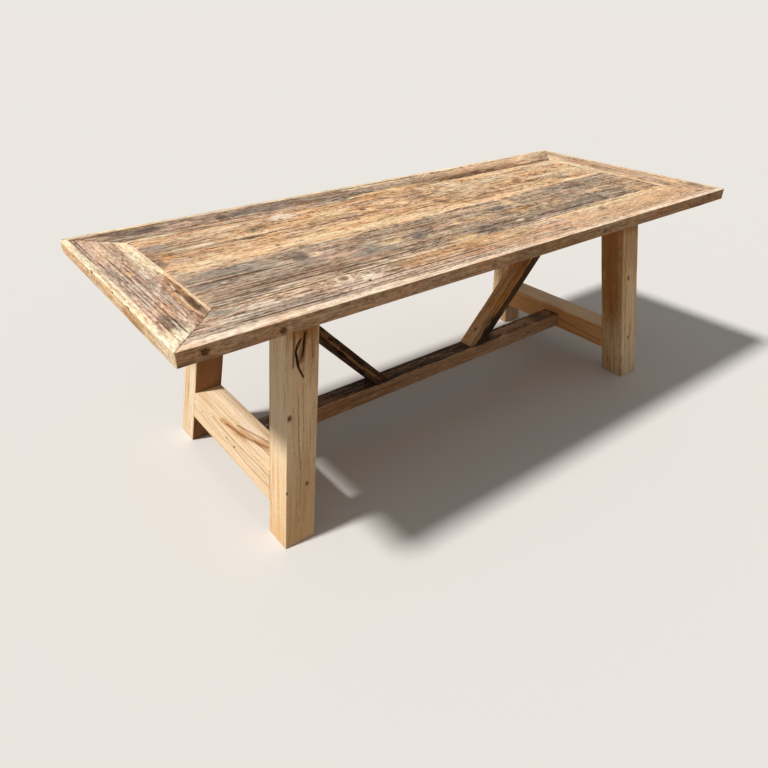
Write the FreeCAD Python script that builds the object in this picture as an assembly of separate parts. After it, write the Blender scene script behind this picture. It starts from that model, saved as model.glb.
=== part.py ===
"""Rustic trestle dining table: a mitred board top on two splayed end frames.

Millimetres. +X runs along the table, +Y to its back, +Z up. The origin lies on the floor,
under the middle of the top. Every piece is a solid of its own, written to parts/NAME.step.
"""
import FreeCAD, Part
import math
import os

Vector = FreeCAD.Vector

# ---------------------------------------------------------------- driving dimensions
# Top
table_length = 2250.0
table_width = 910.0
table_height = 770.0
top_thickness = 40.0
frame_board_width = 160.0        # the four mitred boards round the edge
front_plank_width = 290.0        # the back plank takes the rest of the field
corner_radius = 10.0             # outer corners of the top, seen from above
edge_radius = 3.0                # worn outer edges of the top

# Loose tongues and splines hidden in the joints of the top
tongue_thickness = 10.0
tongue_width = 24.0
tongue_clearance = 0.15          # to each wall of its groove
tongue_end_room = 3.0            # free length at each end of a tongue
spline_length = 100.0            # along the mitre
spline_width = 40.0              # across the mitre
spline_thickness = 8.0

# Legs
leg_width = 100.0                # square, measured level
leg_end_inset = 405.0            # end of the top to the leg's centre line, under the top
leg_joint_inset = 32.0           # joint of a rail and a plank to the leg's centre line, under the top
leg_end_splay = 9.0              # degrees, towards the end of the table
leg_side_splay = 6.2             # degrees, towards the long side of the table

# End stretchers, between the two legs of each end frame, as wide as the legs
end_stretcher_height = 100.0
end_stretcher_floor_gap = 105.0

# Bearers, between the leg tops of each end frame, as wide as the legs, against the top
bearer_height = 128.0

# Centre stretcher, between the end stretchers
centre_stretcher_width = 75.0
centre_stretcher_height = 58.0
centre_stretcher_floor_gap = 116.0

# Braces, from the centre stretcher up to the bearers, as wide as the centre stretcher
brace_depth = 48.0
brace_foot_spacing = 430.0       # between the two feet, inside to inside
brace_head_drop = 58.0           # underside of the top to the upper corner of a brace's head

# Blind tenons and their mortises
tenon_thickness = 36.0
tenon_length = 60.0
stretcher_tenon_shoulder = 20.0  # above and below an end stretcher's tenon
bearer_tenon_lower_shoulder = 22.0
bearer_tenon_upper_shoulder = 55.0
centre_tenon_length = 46.0
centre_tenon_thickness = 34.0
centre_tenon_shoulder = 10.0
mortise_clearance = 0.2          # to each cheek of a tenon
mortise_end_room = 2.0           # beyond the end of a tenon

# Fox wedges, driven into saw cuts in the ends of the end stretchers' tenons
wedge_length = 34.0
wedge_tip_thickness = 1.2
wedge_head_thickness = 3.0
wedge_spacing = 26.0
wedge_clearance = 0.05

# Dowels
brace_dowel_diameter = 16.0
brace_dowel_length = 60.0
leg_dowel_diameter = 20.0
leg_dowel_in_leg = 38.0
leg_dowel_in_top = 24.0
dowel_clearance = 0.05           # on the radius
dowel_end_room = 1.0

# Battens under the top, with their screws
batten_width = 70.0
batten_depth = 38.0
batten_end_inset = 85.0          # long edge of the top to the end of a batten
batten_spacing = 350.0
screw_head_diameter = 9.0
screw_head_height = 3.2
screw_shank_diameter = 4.5
screw_in_top = 24.0
screw_clearance = 0.05           # on the radius
screw_edge_inset = 35.0          # end of a batten to its first screw
screw_joint_inset = 65.0         # joint of two boards to a screw in a plank

# ---------------------------------------------------------------- sizes that follow
half_length = table_length / 2
half_width = table_width / 2
underside = table_height - top_thickness
top_middle = table_height - top_thickness / 2
field_half_length = half_length - frame_board_width
field_half_width = half_width - frame_board_width
plank_joint_y = front_plank_width - field_half_width
leg_top_x = half_length - leg_end_inset
leg_top_y = field_half_width - leg_joint_inset
end_lean = math.tan(math.radians(leg_end_splay))
side_lean = math.tan(math.radians(leg_side_splay))
end_stretcher_top = end_stretcher_floor_gap + end_stretcher_height
centre_stretcher_top = centre_stretcher_floor_gap + centre_stretcher_height
bearer_bottom = underside - bearer_height
batten_bottom = underside - batten_depth
batten_half_length = half_width - batten_end_inset

ENDS = {"left": -1, "right": 1}
SIDES = {"front": -1, "back": 1}


# ---------------------------------------------------------------- shape helpers
def leg_x(height):
    """Distance from the middle of the table to the legs' centre line, along X."""
    return leg_top_x + (underside - height) * end_lean


def leg_y(height):
    """Distance from the middle of the table to the legs' centre line, along Y."""
    return leg_top_y + (underside - height) * side_lean


def leg_inner_y(height):
    """Distance from the middle of the table to the legs' facing sides, along Y."""
    return leg_y(height) - leg_width / 2


def box(x_range, y_range, z_range):
    """A square box between two corners."""
    corner = Vector(x_range[0], y_range[0], z_range[0])
    size = (x_range[1] - x_range[0], y_range[1] - y_range[0], z_range[1] - z_range[0])
    return Part.makeBox(*size, corner)


def leaning_block(low, high):
    """A six-sided solid between two level rectangles, each (x0, x1, y0, y1, z)."""
    rings = []
    for x0, x1, y0, y1, z in (low, high):
        corners = ((x0, y0), (x1, y0), (x1, y1), (x0, y1))
        rings.append([Vector(x, y, z) for x, y in corners])
    loops = [rings[0], rings[1]]
    for i in range(4):
        j = (i + 1) % 4
        loops.append([rings[0][i], rings[0][j], rings[1][j], rings[1][i]])
    faces = [Part.Face(Part.makePolygon(loop + [loop[0]])) for loop in loops]
    return oriented(Part.Solid(Part.Shell(faces)))


def oriented(solid):
    """The same solid, turned right side out."""
    if solid.Volume < 0:
        solid.reverse()
    return solid


def prism(points, direction):
    """A flat outline pushed along a direction."""
    outline = Part.makePolygon(points + [points[0]])
    return oriented(Part.Face(outline).extrude(direction))


def rod(centre, axis, radius, behind, ahead):
    """A round rod through a point, so far behind it and so far ahead of it."""
    start = centre - axis * behind
    return Part.makeCylinder(radius, behind + ahead, start, axis)


def cut_all(solid, tools):
    """A solid with every tool taken out of it."""
    return solid.cut(tools)


def write(name, solids):
    """One STEP file for a piece, or for a set of identical pieces."""
    shape = solids[0] if len(solids) == 1 else Part.makeCompound(solids)
    shape.exportStep("parts/" + name + ".step")


# ---------------------------------------------------------------- end frames
def end_frame_block(side, half_x, low, high, inner_y, extra_y):
    """A block that leans with the end frame and reaches past its legs' facing sides."""
    sections = []
    for z in (low, high):
        centre = side * leg_x(z)
        reach = inner_y(z) + extra_y
        sections.append((centre - half_x, centre + half_x, -reach, reach, z))
    return leaning_block(*sections)


def leg_blank(end, side):
    """A leg before its mortises: square across, leaning to the end and to the side."""
    half = leg_width / 2
    sections = []
    for z in (0.0, underside):
        x = end * leg_x(z)
        y = side * leg_y(z)
        sections.append((x - half, x + half, y - half, y + half, z))
    return leaning_block(*sections)


def end_tenon_bar(end, low, high, grow, end_room):
    """The tenons at both ends of a crosspiece, as one bar through it."""
    half = tenon_thickness / 2 + grow
    return end_frame_block(end, half, low - grow, high + grow, leg_inner_y, tenon_length + end_room)


def stretcher_tenons(end, grow=0.0, end_room=0.0):
    """The tenon bar of an end stretcher."""
    low = end_stretcher_floor_gap + stretcher_tenon_shoulder
    high = end_stretcher_top - stretcher_tenon_shoulder
    return end_tenon_bar(end, low, high, grow, end_room)


def bearer_tenons(end, grow=0.0, end_room=0.0):
    """The tenon bar of a bearer."""
    low = bearer_bottom + bearer_tenon_lower_shoulder
    high = underside - bearer_tenon_upper_shoulder
    return end_tenon_bar(end, low, high, grow, end_room)


def centre_tenons(grow=0.0, end_room=0.0):
    """The tenon bar of the centre stretcher."""
    low = centre_stretcher_floor_gap + centre_tenon_shoulder - grow
    high = centre_stretcher_top - centre_tenon_shoulder + grow
    half = centre_tenon_thickness / 2 + grow
    sections = []
    for z in (low, high):
        reach = leg_x(z) - leg_width / 2 + centre_tenon_length + end_room
        sections.append((-reach, reach, -half, half, z))
    return leaning_block(*sections)


def wedge(end, side, height, grow=0.0):
    """A fox wedge in the tip of an end stretcher's tenon, thick at its outer end."""
    tip_y = leg_inner_y(height) + tenon_length
    start_y = tip_y - wedge_length
    half_tip = wedge_tip_thickness / 2 + grow
    half_head = wedge_head_thickness / 2 + grow
    left = end * leg_x(height) - tenon_thickness / 2
    points = [
        Vector(left, side * (start_y - grow), height - half_tip),
        Vector(left, side * (start_y - grow), height + half_tip),
        Vector(left, side * tip_y, height + half_head),
        Vector(left, side * tip_y, height - half_head),
    ]
    return prism(points, Vector(tenon_thickness, 0, 0))


def wedge_places():
    """The end, side and height of every fox wedge."""
    middle = (end_stretcher_floor_gap + end_stretcher_top) / 2
    places = []
    for end in ENDS.values():
        for side in SIDES.values():
            for step in (-0.5, 0.5):
                places.append((end, side, middle + step * wedge_spacing))
    return places


def trimmed_to_tenon(solid, end):
    """A wedge's solid, kept within its leaning tenon."""
    return solid.common(stretcher_tenons(end))


def leg_dowel(end, side, grow=0.0, end_room=0.0):
    """The dowel between a leg and the top."""
    centre = Vector(end * leg_top_x, side * leg_top_y, underside)
    radius = leg_dowel_diameter / 2 + grow
    return rod(centre, Vector(0, 0, 1), radius, leg_dowel_in_leg + end_room, leg_dowel_in_top + end_room)


def make_legs():
    """The four legs, with mortises for the crosspieces and holes for their dowels."""
    for end_name, end in ENDS.items():
        tenons = [bars(end, mortise_clearance, mortise_end_room) for bars in (stretcher_tenons, bearer_tenons)]
        for side_name, side in SIDES.items():
            hole = leg_dowel(end, side, dowel_clearance, dowel_end_room)
            leg = cut_all(leg_blank(end, side), tenons + [hole])
            write("leg_" + side_name + "_" + end_name, [leg])


def make_end_stretchers():
    """The two end stretchers, wedged into the legs, mortised for the centre stretcher."""
    mortise = centre_tenons(mortise_clearance, mortise_end_room)
    for end_name, end in ENDS.items():
        half = leg_width / 2
        bar = end_frame_block(end, half, end_stretcher_floor_gap, end_stretcher_top, leg_inner_y, 0.0)
        bar = bar.fuse(stretcher_tenons(end)).removeSplitter()
        kerfs = [wedge(*place, grow=wedge_clearance) for place in wedge_places() if place[0] == end]
        write(end_name + "_end_stretcher", [cut_all(bar, [mortise] + kerfs)])


def make_wedges():
    """The fox wedges, as one set."""
    wedges = [trimmed_to_tenon(wedge(*place), place[0]) for place in wedge_places()]
    write("tenon_wedges", [solid.Solids[0] for solid in wedges])


def make_bearers():
    """The two bearers between the leg tops, holed for the braces' dowels."""
    for end_name, end in ENDS.items():
        half = leg_width / 2
        bar = end_frame_block(end, half, bearer_bottom, underside, leg_inner_y, 0.0)
        bar = bar.fuse(bearer_tenons(end)).removeSplitter()
        hole = brace_head_dowel(end, dowel_clearance, dowel_end_room)
        write(end_name + "_top_bearer", [cut_all(bar, [hole])])


def make_leg_dowels():
    """The four dowels that hold the top on the legs, as one set."""
    dowels = [leg_dowel(end, side) for end in ENDS.values() for side in SIDES.values()]
    write("leg_dowels", dowels)


# ---------------------------------------------------------------- centre stretcher and braces
def bearer_inner_x(height):
    """Distance from the middle of the table to a bearer's inner side."""
    return leg_x(height) - leg_width / 2


def brace_lines():
    """Where a brace's four corners lie, as (distance from the middle, height)."""
    foot_inner = (brace_foot_spacing / 2, centre_stretcher_top)
    head_height = underside - brace_head_drop
    head_upper = (bearer_inner_x(head_height), head_height)
    run = head_upper[0] - foot_inner[0]
    rise = head_upper[1] - foot_inner[1]
    slope = run / rise
    foot_outer = (foot_inner[0] + brace_depth * math.hypot(run, rise) / rise, centre_stretcher_top)
    fall = (head_upper[0] - foot_outer[0]) - slope * (head_height - centre_stretcher_top)
    lower_height = head_height + fall / (slope + end_lean)
    head_lower = (bearer_inner_x(lower_height), lower_height)
    return foot_inner, foot_outer, head_lower, head_upper, slope


def brace_foot_dowel(end, grow=0.0, end_room=0.0):
    """The upright dowel between the centre stretcher and a brace."""
    foot_inner, foot_outer, _, _, slope = brace_lines()
    reach = brace_dowel_length / 2
    along = (foot_inner[0] + foot_outer[0]) / 2 + slope * reach / 2
    centre = Vector(end * along, 0, centre_stretcher_top)
    radius = brace_dowel_diameter / 2 + grow
    return rod(centre, Vector(0, 0, 1), radius, reach + end_room, reach + end_room)


def brace_head_dowel(end, grow=0.0, end_room=0.0):
    """The level dowel between a brace and its bearer."""
    _, _, head_lower, head_upper, slope = brace_lines()
    reach = brace_dowel_length / 2
    height = (head_lower[1] + head_upper[1]) / 2 - reach / slope / 2
    centre = Vector(end * bearer_inner_x(height), 0, height)
    radius = brace_dowel_diameter / 2 + grow
    return rod(centre, Vector(end, 0, 0), radius, reach + end_room, reach + end_room)


def make_centre_stretcher():
    """The long stretcher between the end stretchers, holed for the braces' dowels."""
    half = centre_stretcher_width / 2
    sections = []
    for z in (centre_stretcher_floor_gap, centre_stretcher_top):
        reach = leg_x(z) - leg_width / 2
        sections.append((-reach, reach, -half, half, z))
    bar = leaning_block(*sections).fuse(centre_tenons()).removeSplitter()
    holes = [brace_foot_dowel(end, dowel_clearance, dowel_end_room) for end in ENDS.values()]
    write("centre_stretcher", [cut_all(bar, holes)])


def make_braces():
    """The two diagonal braces, cut level at the foot and to the bearer at the head."""
    corners = brace_lines()[:4]
    for end_name, end in ENDS.items():
        points = [Vector(end * x, -centre_stretcher_width / 2, z) for x, z in corners]
        brace = prism(points, Vector(0, centre_stretcher_width, 0))
        holes = [hole(end, dowel_clearance, dowel_end_room) for hole in (brace_foot_dowel, brace_head_dowel)]
        write(end_name + "_brace", [cut_all(brace, holes)])


def make_brace_dowels():
    """The four dowels of the braces, as one set."""
    dowels = [hole(end) for end in ENDS.values() for hole in (brace_foot_dowel, brace_head_dowel)]
    write("brace_dowels", dowels)


# ---------------------------------------------------------------- top
def top_blank():
    """The outline of the whole top, with its corners and outer edges worn round."""
    blank = box((-half_length, half_length), (-half_width, half_width), (underside, table_height))
    upright = [e for e in blank.Edges if abs(e.tangentAt(e.FirstParameter).z) > 0.5]
    blank = blank.makeFillet(corner_radius, upright)
    level = [e for e in blank.Edges if abs(e.tangentAt(e.FirstParameter).z) < 0.5]
    return blank.makeFillet(edge_radius, level)


def tongue(x_range, y_range, grow=0.0, end_room=0.0):
    """A loose tongue, level with the middle of the top's thickness."""
    along_x = x_range[1] - x_range[0] > y_range[1] - y_range[0]
    grow_x = end_room if along_x else grow
    grow_y = grow if along_x else end_room
    half = tongue_thickness / 2 + grow
    return box(
        (x_range[0] - grow_x, x_range[1] + grow_x),
        (y_range[0] - grow_y, y_range[1] + grow_y),
        (top_middle - half, top_middle + half),
    )


def long_tongues(grow=0.0, end_room=0.0):
    """The tongues between the rails and the planks."""
    half = tongue_width / 2
    reach = field_half_length - half - 2 * tongue_end_room
    joints = (-field_half_width, plank_joint_y, field_half_width)
    return [tongue((-reach, reach), (y - half, y + half), grow, end_room) for y in joints]


def end_tongues(grow=0.0, end_room=0.0):
    """The tongues between the planks and the end boards."""
    half = tongue_width / 2
    reach = field_half_width - half - 2 * tongue_end_room
    joints = (-field_half_length, field_half_length)
    return [tongue((x - half, x + half), (-reach, reach), grow, end_room) for x in joints]


def mitre_splines(grow=0.0):
    """The splines across the four mitres."""
    splines = []
    for end in ENDS.values():
        for side in SIDES.values():
            along = spline_length / 2 + grow
            across = spline_width / 2 + grow
            half = spline_thickness / 2 + grow
            spline = box((-along, along), (-across, across), (-half, half))
            spline.rotate(Vector(0, 0, 0), Vector(0, 0, 1), math.degrees(math.atan2(side, end)))
            inset = frame_board_width / 2
            spline.translate(Vector(end * (half_length - inset), side * (half_width - inset), top_middle))
            splines.append(spline)
    return splines


def batten_places():
    """The name and middle of each batten along the table."""
    return {"left": -batten_spacing, "middle": 0.0, "right": batten_spacing}


def screw_rows():
    """Where the screws of a batten lie across the table."""
    outer = batten_half_length - screw_edge_inset
    edge = field_half_width - screw_joint_inset
    return (-outer, -edge, plank_joint_y - screw_joint_inset, plank_joint_y + screw_joint_inset, edge, outer)


def screw(x, y, grow=0.0):
    """A countersunk screw up through a batten into the top."""
    base = Vector(x, y, batten_bottom)
    up = Vector(0, 0, 1)
    shank_radius = screw_shank_diameter / 2 + grow
    head_radius = screw_head_diameter / 2 + grow
    shank = Part.makeCylinder(shank_radius, batten_depth + screw_in_top + grow, base, up)
    head = Part.makeCone(head_radius, shank_radius, screw_head_height, base, up)
    return shank.fuse(head).removeSplitter()


def screws_of(middle, grow=0.0):
    """All screws of one batten."""
    return [screw(middle, y, grow) for y in screw_rows()]


def make_battens():
    """The battens across the underside of the top."""
    half = batten_width / 2
    for name, middle in batten_places().items():
        batten = box(
            (middle - half, middle + half),
            (-batten_half_length, batten_half_length),
            (batten_bottom, underside),
        )
        write(name + "_batten", [cut_all(batten, screws_of(middle, screw_clearance))])


def make_screws():
    """The screws of all battens, as one set."""
    screws = [one for middle in batten_places().values() for one in screws_of(middle)]
    write("batten_screws", screws)


def board(points, blank, tools):
    """One board of the top: its part of the blank, grooved and drilled."""
    outline = [Vector(x, y, underside - top_thickness) for x, y in points]
    region = prism(outline, Vector(0, 0, 3 * top_thickness))
    return cut_all(blank.common(region), tools).Solids[0]


def make_top():
    """The four mitred boards and the two planks between them."""
    blank = top_blank()
    tools = long_tongues(tongue_clearance, tongue_end_room)
    tools += end_tongues(tongue_clearance, tongue_end_room)
    tools += mitre_splines(tongue_clearance)
    for middle in batten_places().values():
        tools += screws_of(middle, screw_clearance)
    for end in ENDS.values():
        for side in SIDES.values():
            tools.append(leg_dowel(end, side, dowel_clearance, dowel_end_room))
    for name, side in SIDES.items():
        outer = side * half_width
        inner = side * field_half_width
        ends = ((-half_length, outer), (half_length, outer))
        points = [*ends, (field_half_length, inner), (-field_half_length, inner)]
        write("top_" + name + "_rail", [board(points, blank, tools)])
    for name, end in ENDS.items():
        outer = end * half_length
        inner = end * field_half_length
        ends = ((outer, -half_width), (outer, half_width))
        points = [*ends, (inner, field_half_width), (inner, -field_half_width)]
        write("top_" + name + "_end_board", [board(points, blank, tools)])
    for name, low, high in (
        ("front", -field_half_width, plank_joint_y),
        ("back", plank_joint_y, field_half_width),
    ):
        points = [
            (-field_half_length, low),
            (field_half_length, low),
            (field_half_length, high),
            (-field_half_length, high),
        ]
        write("top_" + name + "_plank", [board(points, blank, tools)])


def make_tongues():
    """The loose tongues and mitre splines of the top, as three sets."""
    write("lengthwise_tongues", long_tongues())
    write("end_tongues", end_tongues())
    write("mitre_splines", mitre_splines())


def main():
    """Writes every piece of the table."""
    os.makedirs("parts", exist_ok=True)
    make_top()
    make_tongues()
    make_battens()
    make_screws()
    make_legs()
    make_leg_dowels()
    make_bearers()
    make_end_stretchers()
    make_wedges()
    make_centre_stretcher()
    make_braces()
    make_brace_dowels()


main()
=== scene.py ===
"""Dresses the trestle table: weathered boards, worn timbers, their finishes, and the studio.

Metres, in the table's own frame: +X along the table, +Y to its back, +Z up. Each timber is
worked in its own grain frame, which runs with the grain, then across the marked face, then
out through it. The timber is set in its place once it is shaped and marked.
"""

import logging
import math
import random
from abc import ABC, abstractmethod
from collections.abc import Sequence
from dataclasses import dataclass, field
from enum import Enum

import bmesh
import bpy
import numpy as np
from mathutils import Matrix, Vector


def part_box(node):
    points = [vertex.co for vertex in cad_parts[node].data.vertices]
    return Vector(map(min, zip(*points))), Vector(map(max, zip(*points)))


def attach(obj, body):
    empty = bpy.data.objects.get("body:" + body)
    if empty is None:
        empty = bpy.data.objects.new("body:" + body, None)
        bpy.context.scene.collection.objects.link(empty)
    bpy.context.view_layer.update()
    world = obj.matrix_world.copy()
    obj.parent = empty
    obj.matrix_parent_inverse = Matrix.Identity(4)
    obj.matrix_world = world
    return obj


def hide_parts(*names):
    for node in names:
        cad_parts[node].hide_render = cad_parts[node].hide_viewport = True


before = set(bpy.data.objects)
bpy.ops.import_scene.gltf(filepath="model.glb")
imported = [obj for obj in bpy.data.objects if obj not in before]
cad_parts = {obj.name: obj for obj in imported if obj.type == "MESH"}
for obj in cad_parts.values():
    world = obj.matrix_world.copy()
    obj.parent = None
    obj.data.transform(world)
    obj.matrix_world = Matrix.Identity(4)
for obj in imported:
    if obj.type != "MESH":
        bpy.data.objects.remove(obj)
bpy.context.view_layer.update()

log = logging.getLogger("table")
BODY = "root"
TINY = 1e-9  # the least length to divide by
Colour = tuple[float, float, float, float]
Pair = tuple[float, float]
Triple = tuple[float, float, float]
Plane = tuple[Vector, Vector]
Socket = bpy.types.NodeSocket

# ---------------------------------------------------------------- sizes
# All are read from the frame, apart from the width of the square legs.
RAIL_LOW, RAIL_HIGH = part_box("top_front_rail")
LEG_LOW, LEG_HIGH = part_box("leg_front_left")
TOP_HALF_LENGTH = RAIL_HIGH.x
TOP_HALF_WIDTH = -RAIL_LOW.y
TOP_HEIGHT = RAIL_HIGH.z
UNDERSIDE = RAIL_LOW.z
BOARD_WIDTH = RAIL_HIGH.y - RAIL_LOW.y
FIELD_HALF_LENGTH = TOP_HALF_LENGTH - BOARD_WIDTH
FIELD_HALF_WIDTH = TOP_HALF_WIDTH - BOARD_WIDTH
PLANK_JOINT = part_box("top_front_plank")[1].y
LEG_WIDTH = 0.100
LEG_TOP_X = -LEG_HIGH.x + LEG_WIDTH / 2
LEG_TOP_Y = -LEG_HIGH.y + LEG_WIDTH / 2
END_LEAN = (LEG_HIGH.x - LEG_LOW.x - LEG_WIDTH) / UNDERSIDE
SIDE_LEAN = (LEG_HIGH.y - LEG_LOW.y - LEG_WIDTH) / UNDERSIDE


class Where(int, Enum):
    """A part of the table, told by its sign along an axis."""

    @property
    def label(self) -> str:
        """Its name in the names of the pieces."""
        return self.name.lower()


class End(Where):
    """The two ends, along X."""

    LEFT = -1
    RIGHT = 1


class Side(Where):
    """The two long sides, along Y."""

    FRONT = -1
    BACK = 1


class Channel(str, Enum):
    """Names of the values that a timber's mesh carries to its finish."""

    GRAIN = "grain"
    STAIN = "stain"
    SHARE = "stain_share"
    HOLLOW = "hollow"


class Tint(str, Enum):
    """Colours of sapwood, heartwood, dirt and weather, some also laid on as painted light and painted shade.
    """

    CHALK = "#e8cfb6"
    CREAM = "#f5d7ba"
    MAPLE = "#fad6a8"
    STRAW = "#fae2bd"
    HONEY = "#ecc08c"
    APRICOT = "#f3b678"
    AMBER = "#d2a070"
    ROSE = "#d2a890"
    GOLD = "#eec699"
    BISCUIT = "#e8cca6"
    TAN = "#b68d68"
    SAND = "#d9b08b"
    TOFFEE = "#b08655"
    CARAMEL = "#b97f46"
    CHESTNUT = "#9a6c46"
    UMBER = "#86664c"
    RUST = "#8e5c3a"
    ASH = "#b8a08c"
    SLATE = "#93867a"
    MOSS = "#89785f"
    INK = "#756a62"
    DUSK = "#67574b"
    SOOT = "#30241b"


# ---------------------------------------------------------------- small helpers
def paint(code: str) -> Colour:
    """A colour made linear by the sRGB curve.

    Args:
        code: the colour as #rrggbb.

    Returns:
        Red, green, blue and a full alpha.
    """
    channels = [int(code[i : i + 2], 16) / 255 for i in (1, 3, 5)]
    linear = [c / 12.92 if c <= 0.04045 else ((c + 0.055) / 1.055) ** 2.4 for c in channels]
    return (*linear, 1.0)


def lattice(u: np.ndarray, v: np.ndarray, seed: float) -> np.ndarray:
    """Smooth noise from 0 to 1 with features one unit across.

    Args:
        u: first coordinate of each point.
        v: second coordinate of each point.
        seed: picks the pattern.

    Returns:
        The noise at each point.
    """
    cell_u, cell_v = np.floor(u), np.floor(v)
    part_u, part_v = u - cell_u, v - cell_v
    part_u = part_u * part_u * (3 - 2 * part_u)
    part_v = part_v * part_v * (3 - 2 * part_v)
    scatter_u, scatter_v, scatter_seed, scatter_wave = 127.1, 311.7, 74.7, 43758.5453

    def corner(step_u: int, step_v: int) -> np.ndarray:
        """The value at one corner of each point's cell.

        Args:
            step_u: 1 for the corner past the cell along u, else 0.
            step_v: 1 for the corner past the cell along v, else 0.

        Returns:
            The value, from 0 to 1.
        """
        phase = (cell_u + step_u) * scatter_u + (cell_v + step_v) * scatter_v + seed * scatter_seed
        wave = np.sin(phase) * scatter_wave
        return wave - np.floor(wave)

    low = corner(0, 0) * (1 - part_u) + corner(1, 0) * part_u
    high = corner(0, 1) * (1 - part_u) + corner(1, 1) * part_u
    return low * (1 - part_v) + high * part_v


def ease(value: np.ndarray, start: float, stop: float) -> np.ndarray:
    """0 before start, 1 past stop, and a smooth step between."""
    t = np.clip((value - start) / (stop - start), 0.0, 1.0)
    return t * t * (3 - 2 * t)


def columns(origin: Triple, along: Triple, across: Triple, out: Triple) -> Matrix:
    """The matrix from a grain frame to the table's frame."""
    turn = Matrix((along, across, out)).transposed().to_4x4()
    return Matrix.Translation(origin) @ turn


def read_points(mesh: bpy.types.Mesh) -> np.ndarray:
    """The points of a mesh.

    Args:
        mesh: the mesh.

    Returns:
        One row for each point.
    """
    points = np.empty(len(mesh.vertices) * 3)
    mesh.vertices.foreach_get("co", points)
    return points.reshape(-1, 3)


def let_go() -> None:
    """Leaves edit mode and deselects everything."""
    if bpy.context.object and bpy.context.object.mode != "OBJECT":
        bpy.ops.object.mode_set(mode="OBJECT")
    bpy.ops.object.select_all(action="DESELECT")


def pick(piece: bpy.types.Object) -> None:
    """Makes one piece the only one selected, in object mode.

    Args:
        piece: the piece.
    """
    let_go()
    bpy.context.view_layer.objects.active = piece
    piece.select_set(True)


# ---------------------------------------------------------------- marks on a timber
@dataclass
class Surface:
    """A timber's points as its marks see them, with what the marks have done so far.

    A point on the marked face has its own across. Past an edge of that face, across goes on
    down the side. The face behind lies a long way off, out of the marks' reach.
    """

    along: np.ndarray
    across: np.ndarray
    shift: np.ndarray = field(init=False)
    depth: np.ndarray = field(init=False)
    share: np.ndarray = field(init=False)
    stain: np.ndarray = field(init=False)
    rough: np.ndarray = field(init=False)

    STREAKS = (10, 300, 3.7)
    BLOTS = (34, 100, 8.1)
    NO_SHARE = 1e-6

    def __post_init__(self) -> None:
        """Starts with no marks."""
        count = len(self.along)
        self.shift, self.depth, self.share = np.zeros(count), np.zeros(count), np.zeros(count)
        self.stain = np.zeros((count, 4))
        self.rough = 0.5 * self.pattern(*self.STREAKS) + 0.5 * self.pattern(*self.BLOTS) - 0.5

    @property
    def line(self) -> np.ndarray:
        """Which grain line each point lies on."""
        return self.across + self.shift

    def pattern(self, along: float, across: float, seed: float) -> np.ndarray:
        """Smooth noise over the surface, in features per metre each way."""
        return lattice(self.along * along, self.across * across, seed)

    def tint(self, cover: np.ndarray, tint: Tint) -> None:
        """Lays one colour over the stains so far.

        Args:
            cover: how much of it covers each point.
            tint: the colour.
        """
        total = self.share + cover - self.share * cover
        weight = np.where(total > self.NO_SHARE, cover / np.maximum(total, self.NO_SHARE), 0.0)[:, None]
        self.stain = self.stain * (1 - weight) + np.array(paint(tint.value)) * weight
        self.share = total


def stretch(surface: Surface, points: tuple[Pair, ...], half_width: float) -> np.ndarray:
    """How far the surface lies from a bent line, in half widths of it.

    Args:
        surface: the timber's points.
        points: the line's points, each (along, across).
        half_width: half the line's width in its middle, which narrows to both ends.

    Returns:
        The distance, 0 on the line and 1 at its edge.
    """
    end_share = 0.4
    nearest = np.full(surface.along.shape, np.inf)
    count = len(points) - 1
    for i, (first, last) in enumerate(zip(points, points[1:])):
        run = np.subtract(last, first)
        du, ds = surface.along - first[0], surface.across - first[1]
        t = np.clip((du * run[0] + ds * run[1]) / (run @ run), 0.0, 1.0)
        bulge = math.sin(math.pi * (i + 0.5) / count)
        width = half_width * (end_share + (1 - end_share) * bulge)
        nearest = np.minimum(nearest, np.hypot(du - t * run[0], ds - t * run[1]) / width)
    return nearest


class Mark(ABC):
    """Something that sets one timber apart from the next."""

    def bend(self, surface: Surface) -> None:
        """Moves the grain lines aside, which most marks don't."""

    @abstractmethod
    def apply(self, surface: Surface) -> None:
        """Colours or hollows the surface."""


@dataclass(frozen=True)
class Stain(Mark):
    """A patch of colour with a ragged edge."""

    along: float
    across: float
    half_length: float
    half_width: float
    tint: Tint
    share: float = 0.8
    ragged: float = 1.6

    FADE = (0.2, 1.5)

    def apply(self, surface: Surface) -> None:
        """Colours the patch.

        Args:
            surface: the timber's surface.
        """
        reach = np.sqrt(
            np.abs((surface.along - self.along) / self.half_length) ** 3
            + ((surface.across - self.across) / self.half_width) ** 2
        )
        cover = self.share * (1 - ease(reach + surface.rough * self.ragged, *self.FADE))
        surface.tint(cover, self.tint)


@dataclass(frozen=True)
class Band(Mark):
    """A strip of colour all along a timber, crisp at its low and high sides unless ragged."""

    low: float
    high: float
    tint: Tint
    share: float = 1.0
    ragged: float = 0.0

    SOFTNESS = 0.0008

    def apply(self, surface: Surface) -> None:
        """Colours the strip.

        Args:
            surface: the timber's surface.
        """
        inside = np.minimum(surface.across - self.low, self.high - surface.across)
        cover = self.share * ease(inside + surface.rough * self.ragged, -self.SOFTNESS, self.SOFTNESS)
        surface.tint(cover, self.tint)


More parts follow.
